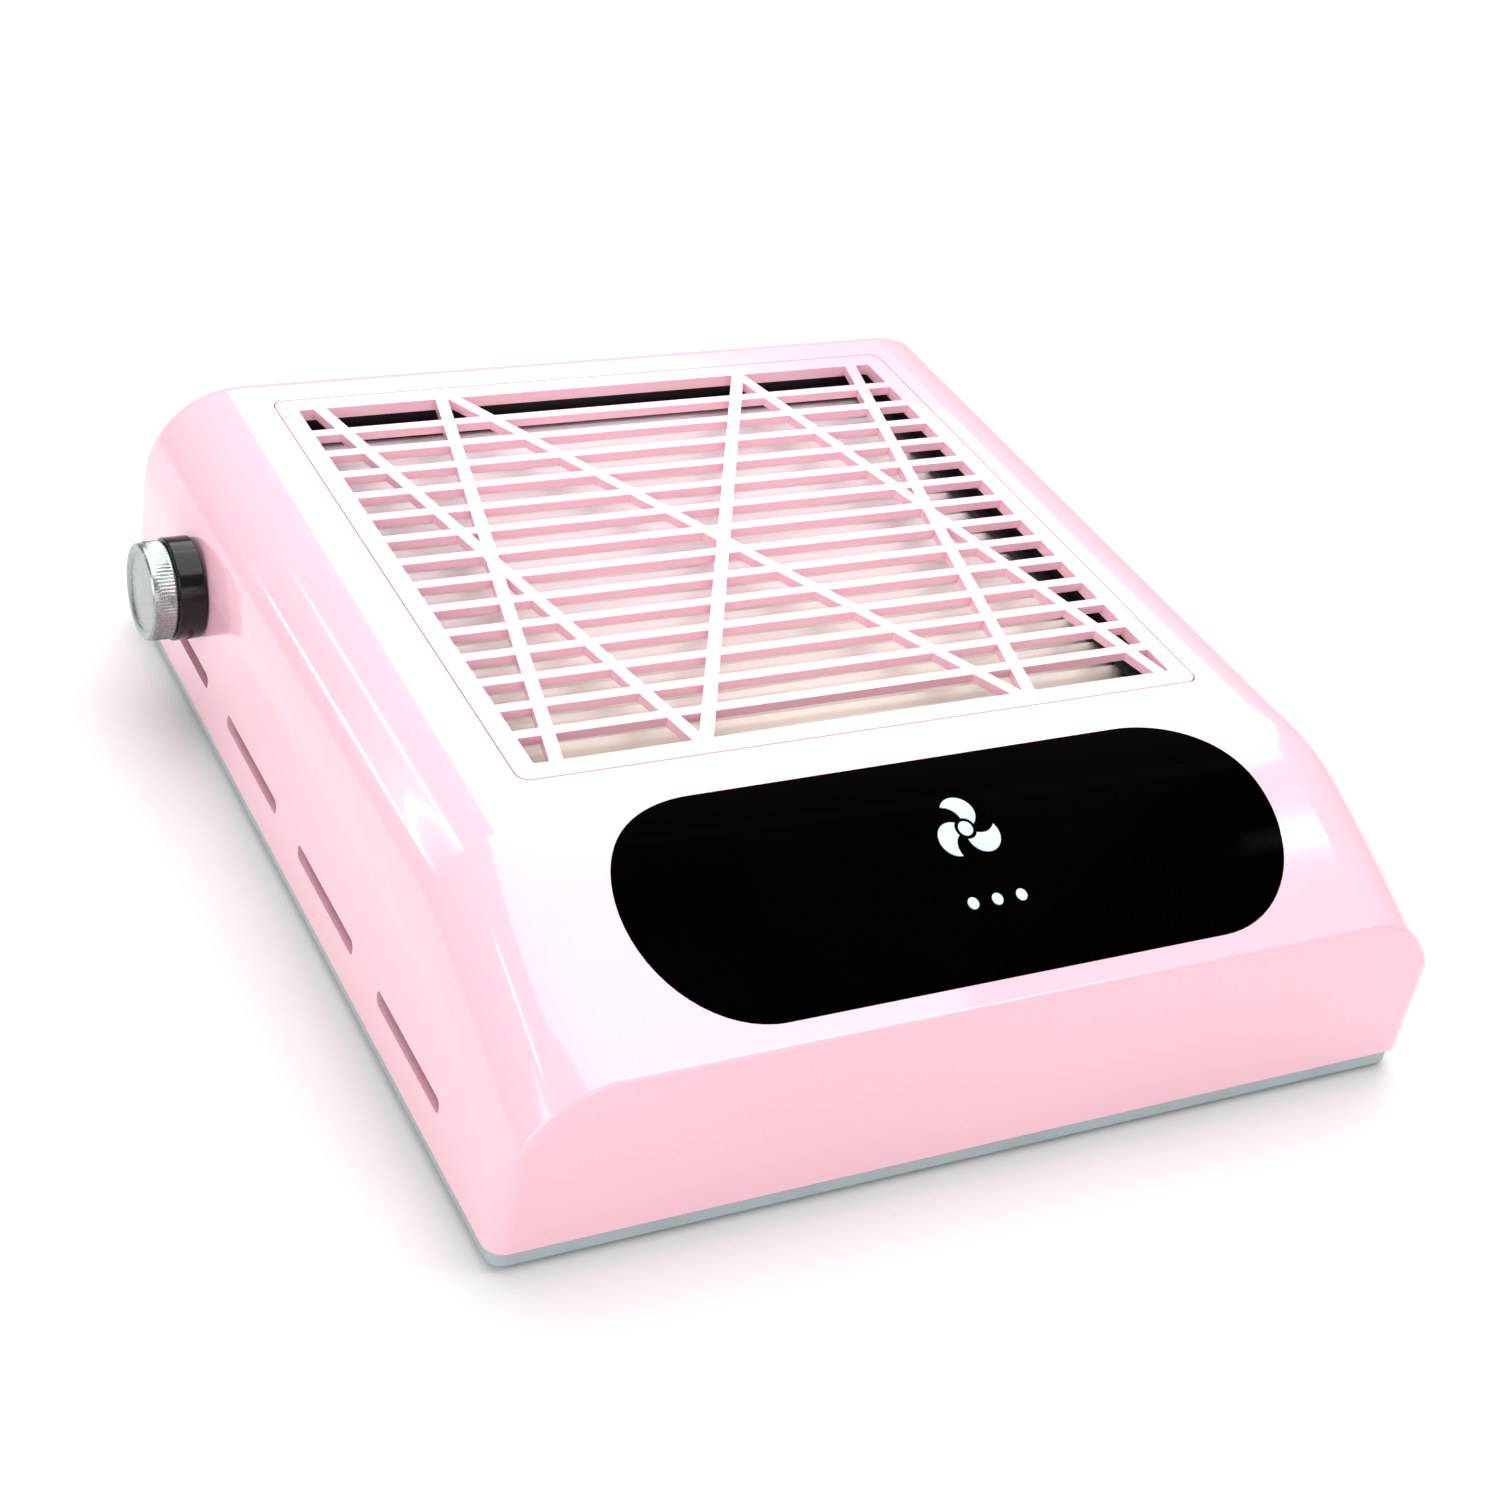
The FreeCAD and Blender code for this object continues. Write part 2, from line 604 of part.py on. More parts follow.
def grille_cover():
    """Flush panel with parallel bars and three crossings of diagonal bars."""
    panel = panel_block(0.0, PANEL_Z, TOP_Z)
    opening_x = PANEL_HALF_X - PANEL_BORDER
    opening_y = PANEL_HALF_Y - PANEL_BORDER
    opening = panel_block(-PANEL_BORDER, PANEL_Z - OVERRUN, TOP_Z + OVERRUN, OPENING_CORNER)
    low_y = PANEL_CENTRE_Y - opening_y - OVERRUN
    high_y = PANEL_CENTRE_Y + opening_y + OVERRUN
    bars = []
    for index in range(BAR_COUNT):
        middle = PANEL_CENTRE_Y - opening_y + BAR_FIRST + BAR_PITCH * index
        bars.append(box(-opening_x - OVERRUN, opening_x + OVERRUN, middle - BAR_WIDTH / 2,
                        middle + BAR_WIDTH / 2, BAR_Z, TOP_Z))
    for back_share, front_share in BRACES:
        back_x = opening_x * (2 * back_share - 1)
        front_x = opening_x * (2 * front_share - 1)
        lean = math.hypot(high_y - low_y, back_x - front_x) / (high_y - low_y)
        half = BRACE_WIDTH * lean / 2
        outline = [V(back_x - half, high_y, BAR_Z), V(back_x + half, high_y, BAR_Z),
                   V(front_x + half, low_y, BAR_Z), V(front_x - half, low_y, BAR_Z)]
        bars.append(prism(outline, Z_AXIS * BAR_THICK))
    inside = panel_block(-PANEL_BORDER / 2, BAR_Z, TOP_Z, OPENING_CORNER)
    lattice = bars[0].fuse(bars[1:]).common(inside)
    return panel.cut(opening).fuse(lattice).removeSplitter()


def filter_frame():
    """Black tray that hangs under the grille cover and holds the filter."""
    outer = panel_block(-FRAME_INSET, FRAME_BOTTOM_Z, PANEL_Z, FRAME_CORNER)
    bore = panel_block(-FRAME_INSET - FRAME_WALL, FRAME_BOTTOM_Z - OVERRUN, PANEL_Z + OVERRUN,
                       FRAME_HOLE_CORNER)
    frame = outer.cut(bore)
    for top_z in (FRAME_FLANGE_Z, FRAME_BOTTOM_Z + FRAME_FLANGE_THICK):
        bottom_z = top_z - FRAME_FLANGE_THICK
        flange = panel_block(-FRAME_INSET - FRAME_WALL / 2, bottom_z, top_z, FRAME_HOLE_CORNER)
        hole = panel_block(-FRAME_INSET - FRAME_WALL - FRAME_LIP, bottom_z, top_z, FRAME_HOLE_CORNER)
        frame = frame.fuse(flange.cut(hole))
    length = PANEL_HALF_Y - FRAME_INSET - FRAME_WALL / 2
    ribs = []
    for index in range(FRAME_RIBS):
        x = PANEL_HALF_X * (2 * (index + 1) / (FRAME_RIBS + 1) - 1)
        ribs.append(box(x - FRAME_RIB_WIDTH / 2, x + FRAME_RIB_WIDTH / 2, PANEL_CENTRE_Y - length,
                        PANEL_CENTRE_Y + length, FRAME_BOTTOM_Z, FRAME_BOTTOM_Z + FRAME_FLANGE_THICK))
    return frame.fuse(ribs).removeSplitter()


def pleated_filter():
    """Zigzag sheet whose folds run across the case."""
    low_z = FRAME_BOTTOM_Z + FRAME_FLANGE_THICK + FILTER_GAP
    high_z = FRAME_FLANGE_Z - FRAME_FLANGE_THICK - FILTER_GAP
    half_x = PANEL_HALF_X - FRAME_INSET - FRAME_WALL - FILTER_GAP
    half_y = PANEL_HALF_Y - FRAME_INSET - FRAME_WALL - FILTER_GAP
    step = half_y / FILTER_PLEATS
    slant = math.hypot(step, high_z - low_z)
    lift = FILTER_SHEET * slant / step
    lower = []
    upper = []
    for index in range(2 * FILTER_PLEATS + 1):
        y = PANEL_CENTRE_Y - half_y + step * index
        z = low_z if index % 2 == 0 else high_z - lift
        lower.append(V(-half_x, y, z))
        upper.append(V(-half_x, y, z + lift))
    return prism(lower + upper[::-1], V(2 * half_x, 0, 0))


def filter_seal():
    """Foam strip under the cartridge that closes the gap to the deck."""
    bottom_z = FRAME_BOTTOM_Z - SEAL_DEPTH
    outer = panel_block(-FRAME_INSET - FIT_GAP, bottom_z, FRAME_BOTTOM_Z, FRAME_CORNER)
    inner = panel_block(-FRAME_INSET - FRAME_WALL - FRAME_LIP, bottom_z, FRAME_BOTTOM_Z, FRAME_HOLE_CORNER)
    return outer.cut(inner)


def fan_deck():
    """Plate under the filter well with the fan's inlet ring."""
    plate = panel_block(DECK_OVERHANG, DECK_BOTTOM_Z, DECK_TOP_Z, DECK_CORNER)
    lip_bottom = DECK_BOTTOM_Z - INLET_LIP_DROP
    lip = upright(INLET_RADIUS + INLET_LIP, FAN_X, FAN_Y, lip_bottom, DECK_TOP_Z)
    deck = plate.fuse(lip)
    deck = deck.cut(upright(INLET_RADIUS, FAN_X, FAN_Y, lip_bottom - OVERRUN, DECK_TOP_Z + OVERRUN))
    holes = [upright(SCREW_RADIUS + FIT_GAP, x, y, DECK_BOTTOM_Z - OVERRUN, DECK_TOP_Z + OVERRUN)
             for x, y in corners(DECK_POST_X, DECK_POST_DY, PANEL_CENTRE_Y)]
    return deck.cut(holes).removeSplitter()


def deck_gasket():
    """Foam ring between the deck and the lower edge of the well."""
    outer = panel_block(DECK_OVERHANG - OVERRUN, DECK_TOP_Z, WELL_BOTTOM_Z)
    return outer.cut(panel_block(-WELL_INSET, DECK_TOP_Z, WELL_BOTTOM_Z))


def deck_screws():
    """Four screws that hold the deck on its posts."""
    return Part.makeCompound([screw(x, y, DECK_TOP_Z, DECK_SCREW_LENGTH, False)
                              for x, y in corners(DECK_POST_X, DECK_POST_DY, PANEL_CENTRE_Y)])


def finger_guard():
    """Rings on spokes over the fan's inlet."""
    low = DECK_TOP_Z
    high = DECK_TOP_Z + GUARD_THICK
    pieces = [upright_ring(GUARD_RADIUS, INLET_RADIUS - OVERRUN, FAN_X, FAN_Y, low, high)]
    for index in range(1, GUARD_RINGS):
        outer = GUARD_HUB_RADIUS + GUARD_RING_PITCH * index + GUARD_RING_WIDTH
        pieces.append(upright_ring(outer, outer - GUARD_RING_WIDTH, FAN_X, FAN_Y, low, high))
    half = GUARD_RING_WIDTH / 2
    spoke = box(FAN_X, FAN_X + INLET_RADIUS + OVERRUN, FAN_Y - half, FAN_Y + half, low, high)
    pieces.extend(around_fan(spoke, GUARD_SPOKES))
    return upright(GUARD_HUB_RADIUS, FAN_X, FAN_Y, low, high).fuse(pieces).removeSplitter()


def motor_bracket():
    """Round foot with the tube that carries the bearings."""
    plate = upright(BRACKET_RADIUS, FAN_X, FAN_Y, BASE_FLOOR_Z, BRACKET_TOP_Z)
    tube_radius = BEARING_RADIUS + FIT_GAP
    tube = upright(tube_radius + BEARING_TUBE_WALL, FAN_X, FAN_Y, BRACKET_TOP_Z, BEARING_TUBE_TOP_Z)
    bore = upright(tube_radius, FAN_X, FAN_Y, BRACKET_TOP_Z, BEARING_TUBE_TOP_Z + OVERRUN)
    holes = [upright(SCREW_RADIUS + FIT_GAP, x, y, 0, BRACKET_TOP_Z + OVERRUN)
             for x, y in bracket_screw_points()]
    return plate.fuse(tube).cut([bore] + holes).removeSplitter()


def bracket_screws():
    """Screws that hold the motor bracket to the base."""
    return Part.makeCompound([screw(x, y, BRACKET_TOP_Z, BRACKET_SCREW_LENGTH - LIFT_GAP, False)
                              for x, y in bracket_screw_points()])


def bearing(bottom_z):
    """Small ball bearing, as a closed cartridge with a groove between its races."""
    top_z = bottom_z + BEARING_WIDTH
    body = upright_ring(BEARING_RADIUS, BEARING_BORE, FAN_X, FAN_Y, bottom_z, top_z)
    grooves = [upright_ring(RACE_GAP_OUTER, RACE_GAP_INNER, FAN_X, FAN_Y, z, z + RACE_GAP_DEPTH)
               for z in (bottom_z, top_z - RACE_GAP_DEPTH)]
    return body.cut(grooves)


def stator_core():
    """Laminated core with its teeth."""
    inner = BEARING_RADIUS + BEARING_TUBE_WALL + 2 * FIT_GAP
    yoke = upright_ring(STATOR_YOKE, inner, FAN_X, FAN_Y, STATOR_BOTTOM_Z, STATOR_TOP_Z)
    half = TOOTH_WIDTH / 2
    tooth = box(FAN_X + inner + OVERRUN, FAN_X + STATOR_TIP_OUTER - OVERRUN / 2, FAN_Y - half, FAN_Y + half,
                STATOR_BOTTOM_Z, STATOR_TOP_Z)
    rim = upright_ring(STATOR_TIP_OUTER, STATOR_TIP_INNER, FAN_X, FAN_Y, STATOR_BOTTOM_Z, STATOR_TOP_Z)
    tip = rim.common(box(FAN_X, FAN_X + CUP_RADIUS, FAN_Y - TIP_WIDTH / 2, FAN_Y + TIP_WIDTH / 2,
                         STATOR_BOTTOM_Z, STATOR_TOP_Z))
    return yoke.fuse(around_fan(tooth.fuse(tip), STATOR_TEETH)).removeSplitter()


def stator_windings():
    """One copper coil on each tooth."""
    half = COIL_WIDTH / 2
    hole = TOOTH_WIDTH / 2 + FIT_GAP
    outer = box(FAN_X + COIL_INNER, FAN_X + COIL_OUTER, FAN_Y - half, FAN_Y + half,
                STATOR_BOTTOM_Z - COIL_OVERHANG, STATOR_TOP_Z + COIL_OVERHANG)
    long_edges = [edge for edge in outer.Edges if abs(edge.tangentAt(edge.FirstParameter).x) > 0.9]
    core = box(FAN_X, FAN_X + CUP_RADIUS, FAN_Y - hole, FAN_Y + hole, STATOR_BOTTOM_Z - FIT_GAP,
               STATOR_TOP_Z + FIT_GAP)
    return Part.makeCompound(around_fan(outer.makeFillet(COIL_CORNER, long_edges).cut(core), STATOR_TEETH))


def motor_shaft():
    """Steel spindle through both bearings."""
    return upright(SHAFT_RADIUS, FAN_X, FAN_Y, SHAFT_BOTTOM_Z, SHAFT_TOP_Z)


def rotor_magnet():
    """Ring magnet inside the rotor cup."""
    return upright_ring(MAGNET_OUTER, MAGNET_INNER, FAN_X, FAN_Y, MAGNET_BOTTOM_Z, MAGNET_TOP_Z)


def rotor_cup():
    """Steel cup that carries the magnet round the stator."""
    cup = upright(CUP_RADIUS, FAN_X, FAN_Y, CUP_BOTTOM_Z, CUP_TOP_Z)
    inside = upright(CUP_RADIUS - CUP_WALL, FAN_X, FAN_Y, CUP_BOTTOM_Z - OVERRUN, CUP_TOP_Z - CUP_WALL)
    return cup.cut([inside, upright(SHAFT_RADIUS + FIT_GAP, FAN_X, FAN_Y, 0, TOP_Z)])


def fan_blade():
    """One backward-swept blade, an arc between the inner and outer radius."""
    low = IMPELLER_BOTTOM_Z + IMPELLER_DISC / 2
    high = IMPELLER_TOP_Z - SHROUD_THICK / 2

    def at(radius, angle):
        return V(FAN_X + radius * math.cos(angle), FAN_Y + radius * math.sin(angle), low)

    half = BLADE_THICK / 2
    middle_radius = (BLADE_INNER_RADIUS + IMPELLER_RADIUS) / 2
    bend = BLADE_BEND_SHARE * BLADE_SWEEP
    points = [(BLADE_INNER_RADIUS, 0.0), (middle_radius, bend), (IMPELLER_RADIUS - OVERRUN / 2, BLADE_SWEEP)]
    sides = []
    for offset in (-half, half):
        sides.append([at(radius, angle + BLADE_LEAN * offset / radius) for radius, angle in points])
    edges = [
        Part.Arc(*sides[0]).toShape(),
        Part.makeLine(sides[0][2], sides[1][2]),
        Part.Arc(*sides[1][::-1]).toShape(),
        Part.makeLine(sides[1][0], sides[0][0]),
    ]
    return Part.Face(Part.Wire(edges)).extrude(Z_AXIS * (high - low))


def impeller():
    """Moulded centrifugal wheel over the rotor cup."""
    hub_inner = CUP_RADIUS + FIT_GAP
    hub_outer = hub_inner + HUB_WALL
    disc_top = IMPELLER_BOTTOM_Z + IMPELLER_DISC
    disc = upright(IMPELLER_RADIUS, FAN_X, FAN_Y, IMPELLER_BOTTOM_Z, disc_top)
    hub = upright(hub_outer, FAN_X, FAN_Y, IMPELLER_BOTTOM_Z, HUB_TOP_Z)
    top_edge = [edge for edge in hub.Edges if edge.BoundBox.ZMin > HUB_TOP_Z - 1e-3]
    hub = hub.makeFillet(HUB_EDGE_RADIUS, top_edge)
    shroud = upright_ring(IMPELLER_RADIUS, SHROUD_EYE_RADIUS, FAN_X, FAN_Y, IMPELLER_TOP_Z - SHROUD_THICK,
                          IMPELLER_TOP_Z)
    wheel = disc.fuse([hub, shroud] + around_fan(fan_blade(), BLADES))
    cavity = upright(hub_inner, FAN_X, FAN_Y, IMPELLER_BOTTOM_Z - OVERRUN, CUP_TOP_Z + FIT_GAP)
    shaft_hole = upright(SHAFT_RADIUS + FIT_GAP, FAN_X, FAN_Y, 0, SHAFT_TOP_Z + FIT_GAP)
    return wheel.cut([cavity, shaft_hole]).removeSplitter()


def knob_skirt():
    """Black lower part of the knob, hollow behind to clear the nut."""
    back = LEFT_X - KNOB_GAP
    front = back - SKIRT_LENGTH
    skirt = rod(SKIRT_RADIUS, at_knob(back), at_knob(front))
    rims = [edge for edge in skirt.Edges if edge.BoundBox.XLength < 1e-3]
    skirt = skirt.makeFillet(SKIRT_EDGE_RADIUS, rims)
    hollow = rod(KNOB_HOLLOW_RADIUS, at_knob(back + OVERRUN), at_knob(back - KNOB_HOLLOW_DEPTH))
    bore = rod(KNOB_SHAFT_RADIUS + FIT_GAP, at_knob(back + OVERRUN), at_knob(front - OVERRUN))
    return skirt.cut([hollow, bore])


def knob_cap():
    """Bright metal cap with a slightly dished face."""
    back = LEFT_X - KNOB_GAP - SKIRT_LENGTH
    front = back - CAP_LENGTH
    cap = rod(CAP_RADIUS, at_knob(back), at_knob(front))
    rims = [edge for edge in cap.Edges if edge.BoundBox.XMax < front + 1e-3]
    cap = cap.makeChamfer(CAP_CHAMFER, rims)
    dish = Part.makeSphere(CAP_DISH_RADIUS, at_knob(front - CAP_DISH_RADIUS + CAP_DISH_DEPTH))
    bore_end = LEFT_X - KNOB_SHAFT_END - FIT_GAP
    bore = rod(KNOB_SHAFT_RADIUS + FIT_GAP, at_knob(back + OVERRUN), at_knob(bore_end))
    return cap.cut([dish, bore])


def knob_shaft():
    """Potentiometer spindle."""
    inner_end = POT_FACE_X + POT_BORE_DEPTH - LIFT_GAP
    return rod(KNOB_SHAFT_RADIUS, at_knob(inner_end), at_knob(LEFT_X - KNOB_SHAFT_END))


def potentiometer():
    """Round control with its threaded bushing and three tags."""
    back = POT_FACE_X + POT_DEPTH
    case = rod(POT_RADIUS, at_knob(POT_FACE_X), at_knob(back))
    bushing = rod(BUSHING_RADIUS, at_knob(POT_FACE_X), at_knob(LEFT_X - BUSHING_PROUD))
    tags = []
    width, thick, length = POT_TAG
    for index in range(POT_TAG_COUNT):
        y = KNOB_Y + POT_TAG_PITCH * (index - 1)
        x = back - 2 * thick
        tags.append(box(x, x + thick, y - width / 2, y + width / 2, KNOB_Z - POT_RADIUS - length, KNOB_Z))
    bore = rod(KNOB_SHAFT_RADIUS + FIT_GAP, at_knob(LEFT_X - BUSHING_PROUD - OVERRUN),
               at_knob(POT_FACE_X + POT_BORE_DEPTH))
    return case.fuse([bushing] + tags).cut(bore).removeSplitter()


def potentiometer_nut():
    """Nut that clamps the bushing to the wall, under the knob."""
    start = at_knob(LEFT_X)
    end = at_knob(LEFT_X - POT_NUT_THICK)
    return hexagon(POT_NUT_RADIUS, start, end).cut(rod(BUSHING_RADIUS + FIT_GAP, start, end))


def power_inlet():
    """Round low-voltage socket with its centre pin."""
    front = BACK_Y + JACK_FLANGE_THICK
    barrel = rod(JACK_THREAD_RADIUS, at_jack(BACK_Y), at_jack(BACK_Y - JACK_LENGTH))
    flange = rod(JACK_FLANGE_RADIUS, at_jack(BACK_Y), at_jack(front))
    socket = rod(JACK_SOCKET_RADIUS, at_jack(front), at_jack(front - JACK_SOCKET_DEPTH))
    pin = rod(JACK_PIN_RADIUS, at_jack(front - OVERRUN), at_jack(front - JACK_SOCKET_DEPTH))
    width, length, thick = JACK_TAG
    tags = []
    rear = BACK_Y - JACK_LENGTH
    for z in (JACK_Z - JACK_TAG_DZ, JACK_Z + JACK_TAG_DZ):
        tags.append(box(JACK_X - width / 2, JACK_X + width / 2, rear - length, rear, z - thick / 2,
                        z + thick / 2))
    return barrel.fuse(flange).cut(socket).fuse([pin] + tags).removeSplitter()


def inlet_nut():
    """Nut that clamps the power inlet inside the back wall."""
    start = at_jack(BACK_Y - WALL)
    end = at_jack(BACK_Y - WALL - JACK_NUT_THICK)
    return hexagon(JACK_NUT_RADIUS, start, end).cut(rod(JACK_THREAD_RADIUS + FIT_GAP, start, end))


def control_board():
    """Printed board for the motor speed."""
    half_x = BOARD_LENGTH / 2
    half_y = BOARD_WIDTH / 2
    board = box(BOARD_X - half_x, BOARD_X + half_x, BOARD_Y - half_y, BOARD_Y + half_y, BOARD_BOTTOM_Z,
                BOARD_TOP_Z)
    holes = [upright(BOARD_SCREW_RADIUS + FIT_GAP, x, y, BASE_FLOOR_Z, TOP_Z) for x, y in board_points()]
    return board.cut(holes)


def on_board(x_low, x_high, y_low, y_high, height):
    """Block on the board, placed from the board's middle."""
    return box(BOARD_X + x_low, BOARD_X + x_high, BOARD_Y + y_low, BOARD_Y + y_high, BOARD_TOP_Z,
               BOARD_TOP_Z + height)


def board_components():
    """Capacitor, choke, regulator, chip and three connectors on the board."""
    can_top = BOARD_TOP_Z + CAPACITOR_HEIGHT
    capacitor = upright(CAPACITOR_RADIUS, BOARD_X + CAPACITOR_DX, BOARD_Y, BOARD_TOP_Z, can_top)
    top_edge = [edge for edge in capacitor.Edges if edge.BoundBox.ZMin > can_top - 1e-3]
    capacitor = capacitor.makeFillet(CAPACITOR_EDGE_RADIUS, top_edge)
    choke = upright_ring(CHOKE_RADIUS, CHOKE_BORE_RADIUS, BOARD_X + CHOKE_DX, BOARD_Y + CHOKE_DY,
                         BOARD_TOP_Z, BOARD_TOP_Z + CHOKE_HEIGHT)
    connectors = []
    front = CONNECTOR_FRONT_Y - BOARD_Y
    for index in range(CONNECTORS):
        left = CONNECTOR_LEFT_DX + CONNECTOR_PITCH * index
        connectors.append(on_board(left, left + CONNECTOR_LENGTH, front, front + CONNECTOR_DEPTH,
                                   CONNECTOR_HEIGHT))
    return Part.makeCompound([capacitor, choke, on_board(*CHIP), on_board(*REGULATOR)] + connectors)


def board_screws():
    """Four small screws that hold the board."""
    return Part.makeCompound([screw(x, y, BOARD_TOP_Z, BOARD_SCREW_LENGTH, False, BOARD_SCREW_RADIUS,
                                    BOARD_HEAD_RADIUS) for x, y in board_points()])


def lead(points, radius):
    """Sleeved wires: straight runs joined by tangent arcs as large as the runs allow."""
    edges = []
    start = points[0]
    for before, corner, after in zip(points, points[1:], points[2:]):
        way_in = corner - before
        way_out = after - corner
        room = ARC_SHARE * min(way_in.Length, way_out.Length)
        way_in.normalize()
        way_out.normalize()
        turn = way_in.getAngle(way_out)
        bend = room / math.tan(turn / 2)
        arc_start = corner - way_in * room
        arc_end = corner + way_out * room
        inward = (way_out - way_in).normalize()
        arc_middle = corner + inward * (bend * (1 / math.cos(turn / 2) - 1))
        edges.append(Part.makeLine(start, arc_start))
        edges.append(Part.Arc(arc_start, arc_middle, arc_end).toShape())
        start = arc_end
        print("lead bend radius", round(bend, 1))
    edges.append(Part.makeLine(start, points[-1]))
    path = Part.Wire(edges)
    heading = (points[1] - points[0]).normalize()
    section = Part.Wire(Part.makeCircle(radius, points[0], heading))
    tube = path.makePipeShell([section], True, False)
    swept = math.pi * radius ** 2 * path.Length
    print("lead volume over section times length", round(tube.Volume / swept, 4))
    return tube


def inlet_leads():
    """From the inlet's tags, back under themselves, to the middle connector on the board."""
    rear = BACK_Y - JACK_LENGTH - JACK_TAG[1]
    return lead([
        V(JACK_X, rear - FIT_GAP, JACK_Z),
        V(JACK_X, rear - 10.5, JACK_Z + 0.5),
        V(JACK_X + 2.5, rear - 12.5, LEAD_Z + 0.2),
        V(JACK_X + 4.0, CONNECTOR_FRONT_Y - LIFT_GAP, LEAD_Z),
    ], LEAD_RADIUS)


def potentiometer_leads():
    """From the potentiometer's tags, behind the deck post, to the left connector on the board."""
    tag_x = POT_FACE_X + POT_DEPTH - POT_TAG[1] * 1.5
    return lead([
        V(tag_x, KNOB_Y, KNOB_Z - POT_RADIUS - POT_TAG[2] - LIFT_GAP),
        V(tag_x + 0.5, KNOB_Y + 1.5, 14.0),
        V(-99.0, 93.0, 8.5),
        V(-90.0, 107.0, 8.5),
        V(-76.0, 110.5, 9.5),
        V(-64.0, 106.5, LEAD_Z + 0.3),
        V(-54.5, 102.5, LEAD_Z + 0.1),
        V(-53.5, CONNECTOR_FRONT_Y - LIFT_GAP, LEAD_Z),
    ], LEAD_RADIUS)


def motor_leads():
    """From the windings, flat under the impeller, to the right connector on the board."""
    return lead([
        V(FAN_X - 5.3, FAN_Y + 9.2, STATOR_BOTTOM_Z - COIL_OVERHANG - FIT_GAP - MOTOR_LEAD_RADIUS),
        V(FAN_X - 7.5, FAN_Y + 14.0, BRACKET_TOP_Z + 0.95),
        V(FAN_X - 24.0, FAN_Y + 57.5, BRACKET_TOP_Z + 0.4),
        V(FAN_X - 27.5, FAN_Y + 69.0, BOARD_TOP_Z + 3.2),
        V(FAN_X - 29.5, CONNECTOR_FRONT_Y - LIFT_GAP, LEAD_Z),
    ], MOTOR_LEAD_RADIUS)


def export(name, shape):
    """Write one piece, after a look at its solids."""
    if not shape.isValid():
        raise ValueError(name + " is not a valid shape")
    print(name, len(shape.Solids), "solids", round(shape.Volume), "mm3")
    shape.exportStep("parts/" + name + ".step")


PIECES = {
    "upper_shell": upper_shell,
    "nameplate": nameplate,
    "nameplate_mark": nameplate_mark,
    "base_plate": base_plate,
    "rubber_feet": rubber_feet,
    "base_screws": base_screws,
    "grille_cover": grille_cover,
    "filter_frame": filter_frame,
    "pleated_filter": pleated_filter,
    "filter_seal": filter_seal,
    "fan_deck": fan_deck,
    "deck_gasket": deck_gasket,
    "deck_screws": deck_screws,
    "finger_guard": finger_guard,
    "motor_bracket": motor_bracket,
    "bracket_screws": bracket_screws,
    "stator_core": stator_core,
    "stator_windings": stator_windings,
    "motor_shaft": motor_shaft,
    "rotor_magnet": rotor_magnet,
    "rotor_cup": rotor_cup,
    "impeller": impeller,
    "knob_skirt": knob_skirt,
    "knob_cap": knob_cap,
    "knob_shaft": knob_shaft,
    "potentiometer": potentiometer,
    "potentiometer_nut": potentiometer_nut,
    "power_inlet": power_inlet,
    "inlet_nut": inlet_nut,
    "control_board": control_board,
    "board_components": board_components,
    "board_screws": board_screws,
    "inlet_leads": inlet_leads,
    "potentiometer_leads": potentiometer_leads,
    "motor_leads": motor_leads,
}

os.makedirs("parts", exist_ok=True)
for piece_name, make_piece in PIECES.items():
    export(piece_name, make_piece())
export("lower_bearing", bearing(BRACKET_TOP_Z))
export("upper_bearing", bearing(UPPER_BEARING_Z))
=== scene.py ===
"""Looks of the nail dust collector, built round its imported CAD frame. Metres, in the CAD's own frame."""

import json
import math

import bmesh
import bpy
from mathutils import Matrix, Vector


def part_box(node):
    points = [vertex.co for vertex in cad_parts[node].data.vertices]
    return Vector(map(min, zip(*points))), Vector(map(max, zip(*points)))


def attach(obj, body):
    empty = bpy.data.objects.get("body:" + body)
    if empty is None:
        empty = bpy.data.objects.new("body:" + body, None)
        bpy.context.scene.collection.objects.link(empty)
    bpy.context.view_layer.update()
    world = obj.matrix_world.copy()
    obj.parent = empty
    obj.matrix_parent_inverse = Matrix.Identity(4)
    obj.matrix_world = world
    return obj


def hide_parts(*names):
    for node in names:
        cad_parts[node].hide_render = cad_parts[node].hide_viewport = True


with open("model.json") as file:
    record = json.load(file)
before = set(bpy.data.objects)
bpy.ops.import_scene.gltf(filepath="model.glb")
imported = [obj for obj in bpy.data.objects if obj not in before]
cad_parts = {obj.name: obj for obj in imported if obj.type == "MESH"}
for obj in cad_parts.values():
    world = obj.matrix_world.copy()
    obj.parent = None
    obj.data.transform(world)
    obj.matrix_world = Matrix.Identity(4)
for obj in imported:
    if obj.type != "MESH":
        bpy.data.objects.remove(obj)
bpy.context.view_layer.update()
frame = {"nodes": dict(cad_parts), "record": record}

MM = 0.001
NODES = frame["nodes"]
SLOTS = {s["node"]: s["material_slot"] for s in frame["record"]["subparts"]}

# Camera: a 66 mm lens that looks down on the front left corner, rolled a little
TARGET = Vector((-0.0066, -0.0146, 0.033))
AZIMUTH = math.radians(-32.9)
ELEVATION = math.radians(34.37)
ROLL = math.radians(11.47)
DISTANCE = 0.653
LENS = 66.0

# Light: the world's brightness, and the watts per square metre of a strip
WORLD_GLOW = 0.36
STRIP_GLOW = 75.0

# Filter pack
PLEATS = 30
PLEAT_STEPS = 8
PLEAT_COLUMNS = 60
PLEAT_SHEET = 0.6 * MM
PLEAT_WANDER = 0.22 * MM
PLEAT_CREST_WANDER = 0.35 * MM
PLEAT_SHARPNESS = 1.25

